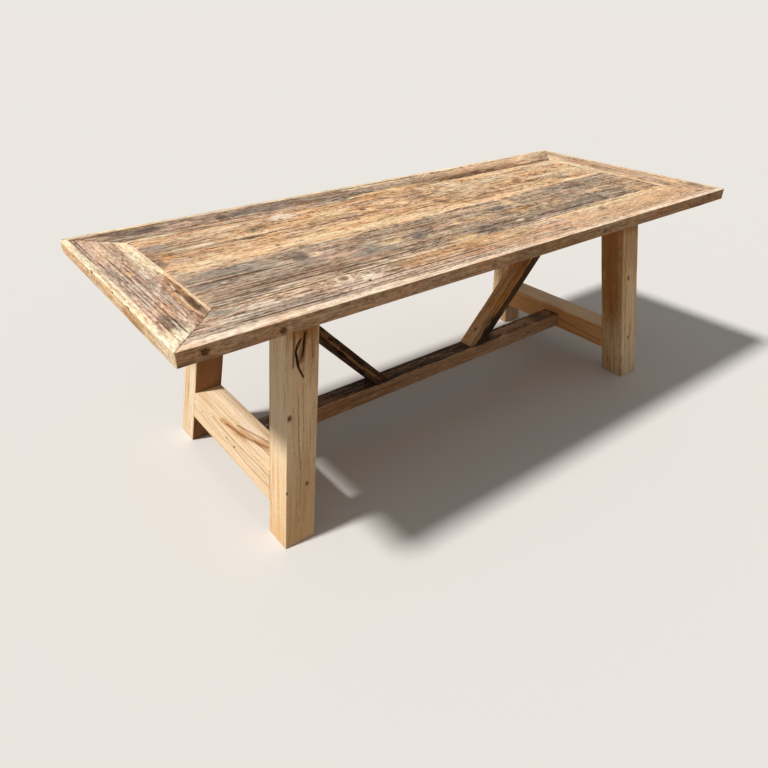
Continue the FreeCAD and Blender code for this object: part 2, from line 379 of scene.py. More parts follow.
@dataclass(frozen=True)
class Knot(Mark):
    """A knot that the grain flows round."""

    along: float
    across: float
    radius: float
    heart: Tint = Tint.UMBER
    ring: Tint = Tint.SOOT
    length: float = 1.3

    # share of the colour, the radius that it fills, and the radius where it ends
    HALO = (0.35, 1.0, 1.7)
    RIM = (0.90, 0.7, 1.2)
    MIDDLE = (0.85, 0.35, 0.8)
    CRACK_RADIUS = 0.9
    CRACK_WIDTH = 0.2
    CRACK_DEPTH = 0.0007
    FLOW_LENGTH = 2.2
    FLOW_CORE = 0.5
    RAGGED = 0.5

    def spread(self, surface: Surface) -> np.ndarray:
        """Distance from the knot's middle.

        Args:
            surface: the timber's surface.

        Returns:
            The distance of each point, 1 at the rim.
        """
        du = (surface.along - self.along) / (self.radius * self.length)
        ds = (surface.across - self.across) / self.radius
        return np.sqrt(du * du + ds * ds) + self.RAGGED * surface.rough

    def bend(self, surface: Surface) -> None:
        """Spreads the grain lines round the knot.

        Args:
            surface: the timber's surface.
        """
        du = (surface.along - self.along) / (self.length * self.FLOW_LENGTH)
        ds = surface.across - self.across
        core = self.radius * self.FLOW_CORE
        surface.shift -= ds * self.radius**2 / (du * du + ds * ds + core**2)

    def apply(self, surface: Surface) -> None:
        """Colours the heart and the rim, with a fine crack round them.

        Args:
            surface: the timber's surface.
        """
        spread = self.spread(surface)
        coats = ((self.heart, self.HALO), (self.ring, self.RIM), (self.heart, self.MIDDLE))
        for tint, (share, filled, end) in coats:
            surface.tint(share * (1 - ease(spread, filled, end)), tint)
        crack = np.exp(-(((spread - self.CRACK_RADIUS) / self.CRACK_WIDTH) ** 2))
        surface.depth += self.CRACK_DEPTH * crack


@dataclass(frozen=True)
class Swirl(Knot):
    """A wide knot seen only as rings in the grain."""

    share: float = 0.7

    RINGS = 9.0
    RING_FADE = (0.7, 2.0)
    HEART_FADE = (0.3, 1.5)
    HEART_SHARE = 0.45
    RING_DEPTH = 0.0006

    def apply(self, surface: Surface) -> None:
        """Colours the rings, fainter outwards.

        Args:
            surface: the timber's surface.
        """
        spread = self.spread(surface)
        rings = 0.5 + 0.5 * np.cos(self.RINGS * spread)
        fade = 1 - ease(spread, *self.RING_FADE)
        heart = 1 - ease(spread, *self.HEART_FADE)
        surface.tint(self.HEART_SHARE * self.share * heart, self.heart)
        surface.tint(self.share * rings * fade, self.ring)
        surface.depth += self.RING_DEPTH * rings * fade


@dataclass(frozen=True)
class Groove(Mark):
    """A worn hollow line that runs with the grain."""

    across: float
    depth: float
    half_width: float
    start: float
    stop: float

    END_FADE = 0.06
    SHALLOWEST = 0.6
    SWELL = 0.6
    SWELLS = (6, 400, 5.1)

    def apply(self, surface: Surface) -> None:
        """Hollows the line, unevenly along its length.

        Args:
            surface: the timber's surface.
        """
        u = surface.along
        begun = ease(u, self.start, self.start + self.END_FADE)
        fade = begun * (1 - ease(u, self.stop - self.END_FADE, self.stop))
        along, across, seed = self.SWELLS
        swell = lattice(u * along, np.full_like(u, self.across * across), seed)
        uneven = self.SHALLOWEST + self.SWELL * swell
        section = np.exp(-(((surface.line - self.across) / self.half_width) ** 2))
        surface.depth += self.depth * fade * uneven * section


@dataclass(frozen=True)
class Crack(Mark):
    """A split along a bent line of points, each (along, across)."""

    points: tuple[Pair, ...]
    half_width: float
    depth: float

    EDGE = (0.5, 1.4)

    def apply(self, surface: Surface) -> None:
        """Opens the split, narrow at both ends."""
        away = stretch(surface, self.points, self.half_width)
        surface.depth = np.maximum(surface.depth, self.depth * (1 - ease(away, *self.EDGE)))


@dataclass(frozen=True)
class Streak(Mark):
    """A line of colour along a bent line of points, each (along, across)."""

    points: tuple[Pair, ...]
    half_width: float
    tint: Tint
    share: float = 0.8

    RAGGED = 1.2
    FADE = (0.3, 1.6)

    def apply(self, surface: Surface) -> None:
        """Colours the line.

        Args:
            surface: the timber's surface.
        """
        away = stretch(surface, self.points, self.half_width)
        cover = self.share * (1 - ease(away + surface.rough * self.RAGGED, *self.FADE))
        surface.tint(cover, self.tint)


@dataclass(frozen=True)
class Dent(Mark):
    """A chip or hollow knocked out of a timber."""

    along: float
    across: float
    half_length: float
    half_width: float
    depth: float

    RAGGED = 0.5
    EDGE = (0.5, 1.15)

    def apply(self, surface: Surface) -> None:
        """Hollows the dent.

        Args:
            surface: the timber's surface.
        """
        du = (surface.along - self.along) / self.half_length
        ds = (surface.across - self.across) / self.half_width
        reach = np.hypot(du, ds) + surface.rough * self.RAGGED
        surface.depth = np.maximum(surface.depth, self.depth * (1 - ease(reach, *self.EDGE)))


def ribs(
    first: float, pitch: float, count: int, depth: float, start: float, stop: float
) -> tuple[Groove, ...]:
    """A row of like grooves side by side.

    Args:
        first: where the first groove lies across the grain.
        pitch: distance between neighbours.
        count: number of grooves.
        depth: depth of the deepest.
        start: where they start along the grain.
        stop: where they stop.

    Returns:
        The grooves, each a little unlike the next.
    """
    sways = {"across": (0.12, 1.7), "depth": (0.25, 2.3), "start": (0.05, 3.1), "stop": (0.08, 1.9)}
    usual_depth, width_of_pitch = 0.75, 0.25
    grooves = []
    for i in range(count):
        sway = {name: size * math.sin(i * pace) for name, (size, pace) in sways.items()}
        grooves.append(
            Groove(
                across=first + pitch * (i + sway["across"]),
                depth=depth * (usual_depth + sway["depth"]),
                half_width=pitch * width_of_pitch,
                start=start + sway["start"],
                stop=stop + sway["stop"],
            )
        )
    return tuple(grooves)


def ticks(
    seed: int, count: int, along: Pair, across: Pair, tint: Tint, share: float
) -> tuple[Streak, ...]:
    """Short fine lines strewn over part of a timber.

    Args:
        seed: picks their places.
        count: number of lines.
        along: where the part starts and stops along the grain.
        across: where it starts and stops across the grain.
        tint: their colour.
        share: how much of it covers the wood.

    Returns:
        The lines.
    """
    shortest, longest, steepest = 0.012, 0.045, 0.004
    thinnest, thickest = 0.0016, 0.0030
    dice = random.Random(seed)
    lines = []
    for _ in range(count):
        u, v = dice.uniform(*along), dice.uniform(*across)
        length, slant = dice.uniform(shortest, longest), dice.uniform(-steepest, steepest)
        points = ((u, v), (u + length, v + slant))
        lines.append(Streak(points, dice.uniform(thinnest, thickest), tint, share))
    return tuple(lines)


# ---------------------------------------------------------------- finishes
@dataclass(frozen=True)
class Layer:
    """One scale of a finish's figure, in features per metre with the grain and across it."""

    along: float
    across: float
    weight: float = 1.0
    detail: float = 2.0


class Graph:
    """A material's nodes, added one step at a time."""

    MIX_UNDER, MIX_OVER, MIX_RESULT = 6, 7, 2  # the colour sockets of a Mix node
    NOISE_ROUGHNESS = 0.62
    SEED_STEP = (5.3, 3.1, 7.7)

    def __init__(self, name: str) -> None:
        """Starts a material that holds only its shader and output.

        Args:
            name: the material's name.
        """
        self.material = bpy.data.materials.new(name)
        self.material.use_nodes = True
        self.tree = self.material.node_tree
        self.shader = self.tree.nodes["Principled BSDF"]

    def feed(self, socket: Socket, value: object) -> None:
        """Links another socket to this one, or sets it to a plain value.

        Args:
            socket: the input to fill.
            value: the other socket, or the value.
        """
        if isinstance(value, bpy.types.NodeSocket):
            self.tree.links.new(value, socket)
        else:
            socket.default_value = value

    def read(self, channel: Channel, output: str = "Fac") -> Socket:
        """A value that the mesh carries.

        Args:
            channel: which value.
            output: the attribute node's output for its kind.

        Returns:
            The value.
        """
        node = self.tree.nodes.new("ShaderNodeAttribute")
        node.attribute_name = channel.value
        return node.outputs[output]

    def place(self, turn: Triple = (0, 0, 0)) -> Socket:
        """Object coordinates in metres, turned.

        Args:
            turn: the turn about each axis.

        Returns:
            The coordinates.
        """
        node = self.tree.nodes.new("ShaderNodeMapping")
        self.feed(node.inputs["Vector"], self.tree.nodes.new("ShaderNodeTexCoord").outputs["Object"])
        node.inputs["Rotation"].default_value = turn
        return node.outputs["Vector"]

    def noise(self, vector: Socket, layer: Layer, seed: float = 0.0) -> Socket:
        """Noise drawn out with the grain.

        Args:
            vector: the grain coordinates, in metres.
            layer: its scale and its octaves of finer noise.
            seed: picks the pattern.

        Returns:
            The noise, near 0.5 on average.
        """
        mapping = self.tree.nodes.new("ShaderNodeMapping")
        self.feed(mapping.inputs["Vector"], vector)
        mapping.inputs["Scale"].default_value = (layer.along, layer.across, layer.across)
        mapping.inputs["Location"].default_value = [seed * step for step in self.SEED_STEP]
        node = self.tree.nodes.new("ShaderNodeTexNoise")
        self.feed(node.inputs["Vector"], mapping.outputs["Vector"])
        node.inputs["Scale"].default_value = 1.0
        node.inputs["Detail"].default_value = layer.detail
        node.inputs["Roughness"].default_value = self.NOISE_ROUGHNESS
        return node.outputs["Fac"]

    def work(self, kind: str, operation: str, *values: object) -> Socket:
        """One node of arithmetic.

        Args:
            kind: the node's kind, Math or VectorMath.
            operation: what it does.
            values: a socket or a plain value for each of its first inputs.

        Returns:
            Its result.
        """
        node = self.tree.nodes.new(f"ShaderNode{kind}")
        node.operation = operation
        for socket, value in zip(node.inputs, values):
            self.feed(socket, value)
        return node.outputs[0]

    def sum(self, *parts: tuple[float, Socket]) -> Socket:
        """Sockets added together.

        Args:
            parts: a weight and a socket each.

        Returns:
            Their weighted sum.
        """
        total: object = 0.0
        for weight, socket in parts:
            total = self.work("Math", "MULTIPLY_ADD", socket, weight, total)
        return total

    def times(self, first: Socket, second: Socket) -> Socket:
        """Two values multiplied."""
        return self.work("Math", "MULTIPLY", first, second)

    def step(
        self, value: Socket, low: float, high: float, start: float = 0.0, stop: float = 1.0
    ) -> Socket:
        """A smooth step.

        Args:
            value: the value that is stepped.
            low: where the step starts.
            high: where it ends.
            start: the result below low.
            stop: the result past high.

        Returns:
            The stepped value.
        """
        node = self.tree.nodes.new("ShaderNodeMapRange")
        node.interpolation_type = "SMOOTHSTEP"
        inputs = {"Value": value, "From Min": low, "From Max": high, "To Min": start, "To Max": stop}
        for name, setting in inputs.items():
            self.feed(node.inputs[name], setting)
        return node.outputs["Result"]

    def ramp(self, value: Socket, stops: dict[float, str]) -> Socket:
        """A colour picked along a row of stops.

        Args:
            value: the place along the row.
            stops: the colour at each place.

        Returns:
            The colour.
        """
        node = self.tree.nodes.new("ShaderNodeValToRGB")
        self.feed(node.inputs["Fac"], value)
        elements = node.color_ramp.elements
        while len(elements) < len(stops):
            elements.new(0.5)
        for element, (position, code) in zip(elements, stops.items()):
            element.position = position
            element.color = paint(code)
        return node.outputs["Color"]

    def cover(self, share: object, under: object, over: object) -> Socket:
        """One colour over another.

        Args:
            share: how much the upper colour covers.
            under: the lower colour.
            over: the upper colour.

        Returns:
            The mixed colour.
        """
        node = self.tree.nodes.new("ShaderNodeMix")
        node.data_type = "RGBA"
        self.feed(node.inputs["Factor"], share)
        self.feed(node.inputs[self.MIX_UNDER], under)
        self.feed(node.inputs[self.MIX_OVER], over)
        return node.outputs[self.MIX_RESULT]

    def rescale(self, colour: Socket, gain: Sequence[float], lift: Sequence[float]) -> Socket:
        """A colour times a gain, plus a lift, each given per channel."""
        return self.work("VectorMath", "MULTIPLY_ADD", colour, gain, lift)

    def tinge(self, first: Socket, second: Socket) -> Socket:
        """Two colours multiplied."""
        return self.work("VectorMath", "MULTIPLY", first, second)

    def bump(self, height: Socket, distance: float, strength: float) -> None:
        """Raises the shader's surface.

        Args:
            height: the height, from 0 to about 1.
            distance: how many metres a height of 1 stands for.
            strength: how much of the relief shows.
        """
        node = self.tree.nodes.new("ShaderNodeBump")
        node.inputs["Distance"].default_value = distance
        node.inputs["Strength"].default_value = strength
        self.feed(node.inputs["Height"], height)
        self.feed(self.shader.inputs["Normal"], node.outputs["Normal"])


WEATHERED_FIGURE = (
    Layer(2.2, 20, 0.11),
    Layer(9, 34, 0.14, 3.0),
    Layer(5, 150, 0.27, 3.0),
    Layer(30, 120, 0.28, 3.0),
    Layer(75, 230, 0.20),
)
RAIL_FIGURE = (
    Layer(2.2, 20, 0.04),
    Layer(9, 34, 0.08, 3.0),
    Layer(5, 150, 0.28, 3.0),
    Layer(30, 120, 0.30, 3.0),
    Layer(75, 230, 0.30),
)
SAWN_FIGURE = (
    Layer(1.2, 18, 0.20),
    Layer(2.5, 70, 0.24, 3.0),
    Layer(4, 200, 0.30, 3.0),
    Layer(90, 420, 0.26),
)


@dataclass(frozen=True)
class Palette:
    """A wood's colours from its deepest pores to its palest fibres."""

    deep: str
    dark: str
    mid: str
    light: str
    pale: str

    def stops(self) -> dict[float, str]:
        """The colours along a ramp."""
        return {0.0: self.deep, 0.22: self.dark, 0.5: self.mid, 0.78: self.light, 1.0: self.pale}


@dataclass(frozen=True)
class Wood:
    """A timber's finish: figure, weather, stains, hollows, checks and relief."""

    name: str
    slot: str
    palette: Palette
    weather: Palette | None = None
    weather_share: float = 0.4
    figure: tuple[Layer, ...] = WEATHERED_FIGURE
    spread: float = 0.09
    checks: float = 0.7
    flecks: float = 0.0
    stain_figure: float = 0.5
    pit: str = "#3a281b"
    roughness: float = 0.74
    relief: float = 0.0006
    seed: float = 0.0

    # patches of weather, whose edge moves with their share
    PATCHES = Layer(2.2, 17.0, detail=4.0)
    PATCH_LIMIT = 0.66
    PATCH_GROWTH = 0.3
    PATCH_EDGE = 0.06
    # drying checks, pits, pale flecks and a drift of hue
    CHECKS = Layer(2.0, 125.0)
    CHECK_EDGE = (0.67, 0.71)
    PITS = Layer(42, 150, detail=1.0)
    PALE_FLECKS = Layer(30, 140, detail=1.0)
    FLECK_EDGE = (0.62, 0.70)
    HUES = Layer(6, 26, detail=3.0)
    HUE_STOPS = {0.4: "#fff7f1", 0.6: "#f6fcfe"}
    # what a full stain leaves of the checks and of the flecks
    FULLY_STAINED = (0.8, 1.0)
    CHECKS_LEFT = 0.2
    FLECKS_LEFT = 0.1
    # a stain's ragged edge, and the least share that shows
    RAGGED = 1.6
    RAGGED_EDGE = (0.75, 1.55)
    FIRST_STAIN = (0.02, 0.35)
    HOLLOW_EDGE = (0.05, 1.0)
    HOLLOW_SHARE = 0.9
    # the shader: rougher in the pores, smoother on the pale fibres
    PORES_ROUGHER = 0.12
    FIBRES_SMOOTHER = 0.08
    GLOSS = 0.12
    CHECK_SINK = -0.5
    RELIEF_STRENGTH = 0.8

    def material(self, turn: Triple | None = None) -> bpy.types.Material:
        """Builds the material.

        Args:
            turn: for a piece that carries no marks, the turn that brings its grain to X.

        Returns:
            The finished material.
        """
        graph = Graph(self.name)
        marked = turn is None
        grain = graph.read(Channel.GRAIN, "Vector") if marked else graph.place(turn)
        layers = [
            (layer.weight, graph.noise(grain, layer, self.seed + i))
            for i, layer in enumerate(self.figure)
        ]
        tone = graph.step(graph.sum(*layers), 0.5 - self.spread, 0.5 + self.spread)
        bare = colour = graph.ramp(tone, self.palette.stops())
        if self.weather:
            patch = graph.noise(grain, self.PATCHES, self.seed + 8)
            middle = self.PATCH_LIMIT - self.PATCH_GROWTH * self.weather_share
            patch = graph.step(patch, middle - self.PATCH_EDGE, middle + self.PATCH_EDGE)
            colour = graph.cover(patch, colour, graph.ramp(tone, self.weather.stops()))
        check = graph.noise(grain, self.CHECKS, self.seed + 9)
        check = graph.step(check, *self.CHECK_EDGE, 0.0, self.checks)
        if marked:
            colour = self.stained(graph, colour, bare, layers[-2][1])
            left = graph.step(graph.read(Channel.SHARE), *self.FULLY_STAINED, 1.0, self.CHECKS_LEFT)
            check = graph.times(check, left)
        colour = graph.cover(check, colour, paint(self.palette.deep))
        if self.flecks:
            colour = self.flecked(graph, grain, colour)
        if marked:
            hollow = graph.read(Channel.HOLLOW)
            hollow = graph.step(hollow, *self.HOLLOW_EDGE, 0.0, self.HOLLOW_SHARE)
            colour = graph.cover(hollow, colour, paint(self.pit))
        graph.feed(graph.shader.inputs["Base Color"], colour)
        pores = min(self.roughness + self.PORES_ROUGHER, 1.0)
        rough = graph.step(tone, 0.0, 1.0, pores, self.roughness - self.FIBRES_SMOOTHER)
        graph.feed(graph.shader.inputs["Roughness"], rough)
        graph.shader.inputs["Specular IOR Level"].default_value = self.GLOSS
        height = graph.sum(*layers[2:], (self.CHECK_SINK, check))
        graph.bump(height, self.relief, self.RELIEF_STRENGTH)
        return graph.material

    def stained(self, graph: Graph, colour: Socket, bare: Socket, ragged: Socket) -> Socket:
        """Lays the mesh's stains over the wood, which still shows its figure.

        Args:
            graph: the material.
            colour: the weathered wood under the stains.
            bare: the wood with no weather, whose figure the stains take on.
            ragged: noise that breaks up the stains' edges.

        Returns:
            The stained colour.
        """
        share = graph.read(Channel.SHARE)
        broken = graph.step(graph.sum((1.0, share), (self.RAGGED, ragged)), *self.RAGGED_EDGE)
        share = graph.times(broken, graph.step(share, *self.FIRST_STAIN))
        middle = paint(self.palette.mid)
        gain = [self.stain_figure / c for c in middle[:3]]
        figure = graph.rescale(bare, gain, [1 - self.stain_figure] * 3)
        return graph.cover(share, colour, graph.tinge(graph.read(Channel.STAIN, "Color"), figure))

    def flecked(self, graph: Graph, grain: Socket, colour: Socket) -> Socket:
        """Adds short dark pits and pale flecks, and lets the hue drift a little.

        Args:
            graph: the material.
            grain: the grain coordinates.
            colour: the wood so far.

        Returns:
            The flecked colour.
        """
        share = graph.read(Channel.SHARE)
        bare = graph.step(share, *self.FULLY_STAINED, self.flecks, self.FLECKS_LEFT)
        pits = graph.step(graph.noise(grain, self.PITS, self.seed + 11), *self.FLECK_EDGE)
        colour = graph.cover(graph.times(pits, bare), colour, paint(self.palette.deep))
        pale = graph.step(graph.noise(grain, self.PALE_FLECKS, self.seed + 12), *self.FLECK_EDGE)
        colour = graph.cover(graph.times(pale, bare), colour, paint(self.palette.pale))
        hue = graph.noise(grain, self.HUES, self.seed + 13)
        return graph.tinge(colour, graph.ramp(hue, self.HUE_STOPS))


@dataclass(frozen=True)
class Zinc:
    """Bright plated steel."""

    name: str = "zinc_plate"

    FLAKES = Layer(900.0, 900.0, detail=3.0)
    FLAKE_STOPS = {0.3: "#8c8a86", 0.7: "#b8b4aa"}
    ROUGHNESS = (0.42, 0.3)
    METALLIC = 0.9
    RELIEF = 0.0001
    RELIEF_STRENGTH = 0.3

    def material(self) -> bpy.types.Material:
        """Builds the material.

        Returns:
            The finished material.
        """
        graph = Graph(self.name)
        flake = graph.noise(graph.place(), self.FLAKES)
        graph.feed(graph.shader.inputs["Base Color"], graph.ramp(flake, self.FLAKE_STOPS))
        rough = graph.step(flake, *self.FLAKE_STOPS, *self.ROUGHNESS)
        graph.feed(graph.shader.inputs["Roughness"], rough)
        graph.shader.inputs["Metallic"].default_value = self.METALLIC
        graph.bump(flake, self.RELIEF, self.RELIEF_STRENGTH)
        return graph.material


# ---------------------------------------------------------------- timber
@dataclass
class Timber:
    """A squared timber between two corners of its grain frame."""

    name: str
    low: Triple
    high: Triple
    finish: bpy.types.Material
    slot: str
    marks: tuple[Mark, ...] = ()
    seed: float = 1.0
    place: Matrix = field(default_factory=lambda: Matrix.Identity(4))
    cuts: tuple[Plane, ...] = ()
    cell: Triple = (0.005, 0.0025, 0.005)
    edges: Pair = (0.003, 0.003)
    ripple: float = 0.0004
    ripple_pitch: float = 0.009
    wander: float = 0.005
    dirt: float = 0.4
    fineness: float = 1.0
    corner_radius: float = 0.0

    # the box: its close rows, and which edges are divided
    EDGE_ROWS = (0.35, 1.0)
    LONGER_THAN_CELL = 1.5
    STRAIGHT = 0.99
    SMOOTH_ANGLE = 40
    # noise: features per metre with the grain and across it, and a step from the timber's seed
    SLOW_WANDER = (2.1, 9, 0)
    QUICK_WANDER = (9, 30, 2)
    QUICK_SHARE = 0.3
    HOLLOWS = (11, 24, 6)
    EDGE_WEAR = (16, 3, 8)
    # ripples: features per metre with the grain, in rows a ripple's pitch apart
    BROAD_RIPPLES = (2.8, 1.0, 4)
    FINE_RIPPLES = (8, 2.1, 5)
    FINE_SHARE = 0.35
    RIPPLE_EDGE = (0.25, 0.85)
    HOLLOWS_EDGE = (0.55, 0.95)
    RIPPLE_GAIN = 2
    HOLLOWS_GAIN = 1.5
    # wear and dirt
    TOUCH = 1e-6
    HIDDEN_FACE_OFFSET = 10.0
    LEAST_WEAR = 0.7
    MORE_WEAR = 0.6
    HOLLOW_DEPTH = 0.0016
    DIRT_EDGE = (1.1, 2.2)
    GRAIN_STEP = (3.1, 1.7, 2.3)
    STORED_AS = {
        Channel.GRAIN: ("FLOAT_VECTOR", "vector"),
        Channel.STAIN: ("FLOAT_COLOR", "color"),
        Channel.SHARE: ("FLOAT", "value"),
        Channel.HOLLOW: ("FLOAT", "value"),
    }

    def build(self) -> None:
        """Saws, cuts, marks and sets the timber, and hands it to the frame."""
        piece = self.saw()
        self.cut(piece)
        self.wear(piece.data)
        self.set_down(piece)
        piece.data.materials.clear()
        piece.data.materials.append(self.finish)
        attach(piece, BODY)
        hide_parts(self.name)
        log.info("%s: %d faces", piece.name, len(piece.data.polygons))

    def saw(self) -> bpy.types.Object:
        """A box at its size, divided into small cells, with close rows along its long edges.

        Returns:
            The box, in the timber's grain frame.
        """
        let_go()
        low, high = Vector(self.low), Vector(self.high)
        bpy.ops.mesh.primitive_cube_add(size=1.0, location=(low + high) / 2, scale=high - low)
        bpy.ops.object.transform_apply(location=True, rotation=False, scale=True)
        piece = bpy.context.active_object
        piece.name = piece.data.name = self.name + "_wood"
        bpy.ops.object.mode_set(mode="EDIT")
        bpy.ops.mesh.select_mode(type="EDGE")
        for axis in (1, 2):
            normal = Vector([float(axis == i) for i in range(3)])
            for edge, inward in ((low, 1), (high, -1)):
                for share in self.EDGE_ROWS:
                    bpy.ops.mesh.select_all(action="SELECT")
                    plane = edge + normal * (inward * share * max(self.edges))
                    bpy.ops.mesh.bisect(plane_co=plane, plane_no=normal)
        for axis in (2, 1, 0):
            self.divide(piece, axis)
        bpy.ops.object.mode_set(mode="OBJECT")
        return piece

    def divide(self, piece: bpy.types.Object, axis: int) -> None:
        """Divides the long edges along one axis into cells, in two rounds.

        Args:
            piece: the box, in edit mode.
            axis: 0 with the grain, 1 across it, 2 through the timber.
        """
        length = self.high[axis] - self.low[axis]
        if axis:
            length -= 2 * max(self.edges)
        count = max(1, round(length / self.cell[axis]))
        first = math.ceil(math.sqrt(count))
        for parts in (first, math.ceil(count / first)):
            if parts < 2:
                continue
            mesh = bmesh.from_edit_mesh(piece.data)
            for edge in mesh.edges:
                run = edge.verts[0].co - edge.verts[1].co
                extent = abs(run[axis])
                coarse = extent > self.LONGER_THAN_CELL * self.cell[axis]
                edge.select = coarse and extent > self.STRAIGHT * run.length
            mesh.select_flush_mode()
            bmesh.update_edit_mesh(piece.data)
            bpy.ops.mesh.subdivide(number_cuts=parts - 1)

    def cut(self, piece: bpy.types.Object) -> None:
        """Cuts the timber off along planes given in the table's frame.

        Args:
            piece: the sawn timber.
        """
        if not self.cuts:
            return
        pick(piece)
        bpy.ops.object.mode_set(mode="EDIT")
        to_table = self.place.to_3x3()
        back = self.place.inverted()
        for point, normal in self.cuts:
            bpy.ops.mesh.select_all(action="SELECT")
            bpy.ops.mesh.bisect(
                plane_co=back @ point,
                plane_no=(to_table.transposed() @ normal).normalized(),
                use_fill=True,
                clear_outer=True,
            )
        bpy.ops.object.mode_set(mode="OBJECT")

    def wear(self, mesh: bpy.types.Mesh) -> None:
        """Rounds the edges, sinks the marks into the surface and stores them for the finish.

        Args:
            mesh: the timber's mesh, in its grain frame.
        """
        points = read_points(mesh)
        low, high = np.array(self.low), np.array(self.high)
        u, b, c = points.T
        low_half = b < (low[1] + high[1]) / 2
        fall = high[2] - c
        across = b + np.where(low_half, -fall, fall)
        hidden = c < low[2] + self.TOUCH
        surface = Surface(u, np.where(hidden, b + self.HIDDEN_FACE_OFFSET, across))
        self.mark(surface)
        ripple = self.rippled(surface)
        uneven = self.LEAST_WEAR + self.MORE_WEAR * self.noise(surface, self.EDGE_WEAR)
        radius = (np.where(low_half, *self.edges) * uneven)[:, None]
        core = np.clip(points, low + radius, high - radius)
        out = points - core
        out /= np.maximum(np.linalg.norm(out, axis=1, keepdims=True), TINY)
        worn = core + out * (radius - (ripple + surface.depth)[:, None])
        mesh.vertices.foreach_set("co", worn.ravel())
        rows, layers = ((value + surface.shift) * self.fineness for value in (b, c))
        grain = np.stack([u, rows, layers], axis=1) + self.seed * np.array(self.GRAIN_STEP)
        dirt = self.dirt * (1 - surface.share**4)
        dirt = dirt * ease(ripple / self.ripple, *self.DIRT_EDGE)
        hollow = surface.depth / self.HOLLOW_DEPTH + dirt
        self.store(mesh, Channel.GRAIN, grain)
        self.store(mesh, Channel.STAIN, surface.stain)
        self.store(mesh, Channel.SHARE, surface.share)
        self.store(mesh, Channel.HOLLOW, np.clip(hollow, 0, 1))

    def noise(self, surface: Surface, pattern: Triple) -> np.ndarray:
        """Smooth noise over the timber.

        Args:
            surface: the timber's surface.
            pattern: features per metre each way, and a step from the timber's seed.

        Returns:
            The noise at each point.
        """
        along, across, step = pattern
        return surface.pattern(along, across, self.seed + step)

    def mark(self, surface: Surface) -> None:
        """Lets the grain wander, and adds the marks.

        Args:
            surface: the timber's surface.
        """
        for pattern, share in ((self.SLOW_WANDER, 1), (self.QUICK_WANDER, self.QUICK_SHARE)):
            surface.shift += self.wander * (2 * share * self.noise(surface, pattern) - share)
        for mark in self.marks:
            mark.bend(surface)
        for mark in self.marks:
            mark.apply(surface)

    def rippled(self, surface: Surface) -> np.ndarray:
        """Depth worn away between the hard lines of the grain, and in shallow hollows.

        Args:
            surface: the timber's surface.

        Returns:
            The depth at each point.
        """
        row = surface.line / self.ripple_pitch
        broad, fine = (
            lattice(surface.along * along, row * across, self.seed + step)
            for along, across, step in (self.BROAD_RIPPLES, self.FINE_RIPPLES)
        )
        ripples = ease((1 - self.FINE_SHARE) * broad + self.FINE_SHARE * fine, *self.RIPPLE_EDGE)
        hollows = ease(self.noise(surface, self.HOLLOWS), *self.HOLLOWS_EDGE)
        return self.ripple * (self.RIPPLE_GAIN * ripples + self.HOLLOWS_GAIN * hollows)

    def store(self, mesh: bpy.types.Mesh, channel: Channel, values: np.ndarray) -> None:
        """Stores one value for each point of the mesh.

        Args:
            mesh: the timber's mesh.
            channel: which value.
            values: the values, in the order of the points.
        """
        kind, value_name = self.STORED_AS[channel]
        attribute = mesh.attributes.new(channel.value, kind, "POINT")
        attribute.data.foreach_set(value_name, values.ravel())

    def set_down(self, piece: bpy.types.Object) -> None:
        """Moves the timber from its grain frame to its place, and smooths its shading.

        Args:
            piece: the worn timber.
        """
        piece.data.transform(self.place)
        if self.corner_radius:
            self.round_corners(piece.data)
        pick(piece)
        bpy.ops.object.mode_set(mode="EDIT")
        bpy.ops.mesh.select_all(action="SELECT")
        bpy.ops.mesh.normals_make_consistent(inside=False)
        bpy.ops.object.mode_set(mode="OBJECT")
        bpy.ops.object.shade_smooth_by_angle(angle=math.radians(self.SMOOTH_ANGLE))

    def round_corners(self, mesh: bpy.types.Mesh) -> None:
        """Rounds the top's outer corners, seen from above.

        Args:
            mesh: a rim board's mesh, in its place.
        """
        points = read_points(mesh)
        reach = np.array([TOP_HALF_LENGTH, TOP_HALF_WIDTH]) - self.corner_radius
        over = np.abs(points[:, :2]) - reach
        corner = (over > 0).all(axis=1)
        length = np.linalg.norm(over[corner], axis=1)
        scale = np.minimum(1.0, self.corner_radius / np.maximum(length, TINY))[:, None]
        points[corner, :2] = np.sign(points[corner, :2]) * (reach + over[corner] * scale)
        mesh.vertices.foreach_set("co", points.ravel())


# ---------------------------------------------------------------- finishes of this table
RAIL_WOOD = Wood(
    "weathered_rail_wood",
    "weathered_rail",
    Palette("#604737", "#9f816a", "#caa98e", "#e3c7ab", "#f8e2c8"),
    weather=Palette("#54433a", "#8f7766", "#ba9d86", "#d4baa2", "#ecd6bc"),
    weather_share=0.3,
    figure=RAIL_FIGURE,
    spread=0.105,
    flecks=0.55,
    seed=1,
)
DARK_RAIL_WOOD = Wood(
    "dark_rail_wood",
    "dark_rail",
    Palette("#4a382b", "#84695a", "#a08570", "#b99e86", "#dcc0a2"),
    weather=Palette("#40352c", "#726151", "#8e7a68", "#a99580", "#c9b49c"),
    weather_share=0.4,
    flecks=0.55,
    seed=2,
)
GREY_WOOD = Wood(
    "grey_plank_wood",
    "grey_plank",
    Palette("#4e3a2b", "#8a6e57", "#b5987d", "#d0b194", "#eacdab"),
    weather=Palette("#463a32", "#7f6c5b", "#a38a74", "#bda48b", "#dac2a4"),
    weather_share=0.5,
    flecks=0.55,
    seed=3,
)
HONEY_WOOD = Wood(
    "honey_plank_wood",
    "honey_plank",
    Palette("#60402a", "#ae8159", "#d6a77b", "#edc499", "#fbdfb8"),
    weather=Palette("#584435", "#9f7f64", "#c7a284", "#dfbf9f", "#f3d9bb"),
    weather_share=0.4,
    flecks=0.55,
    seed=4,
)
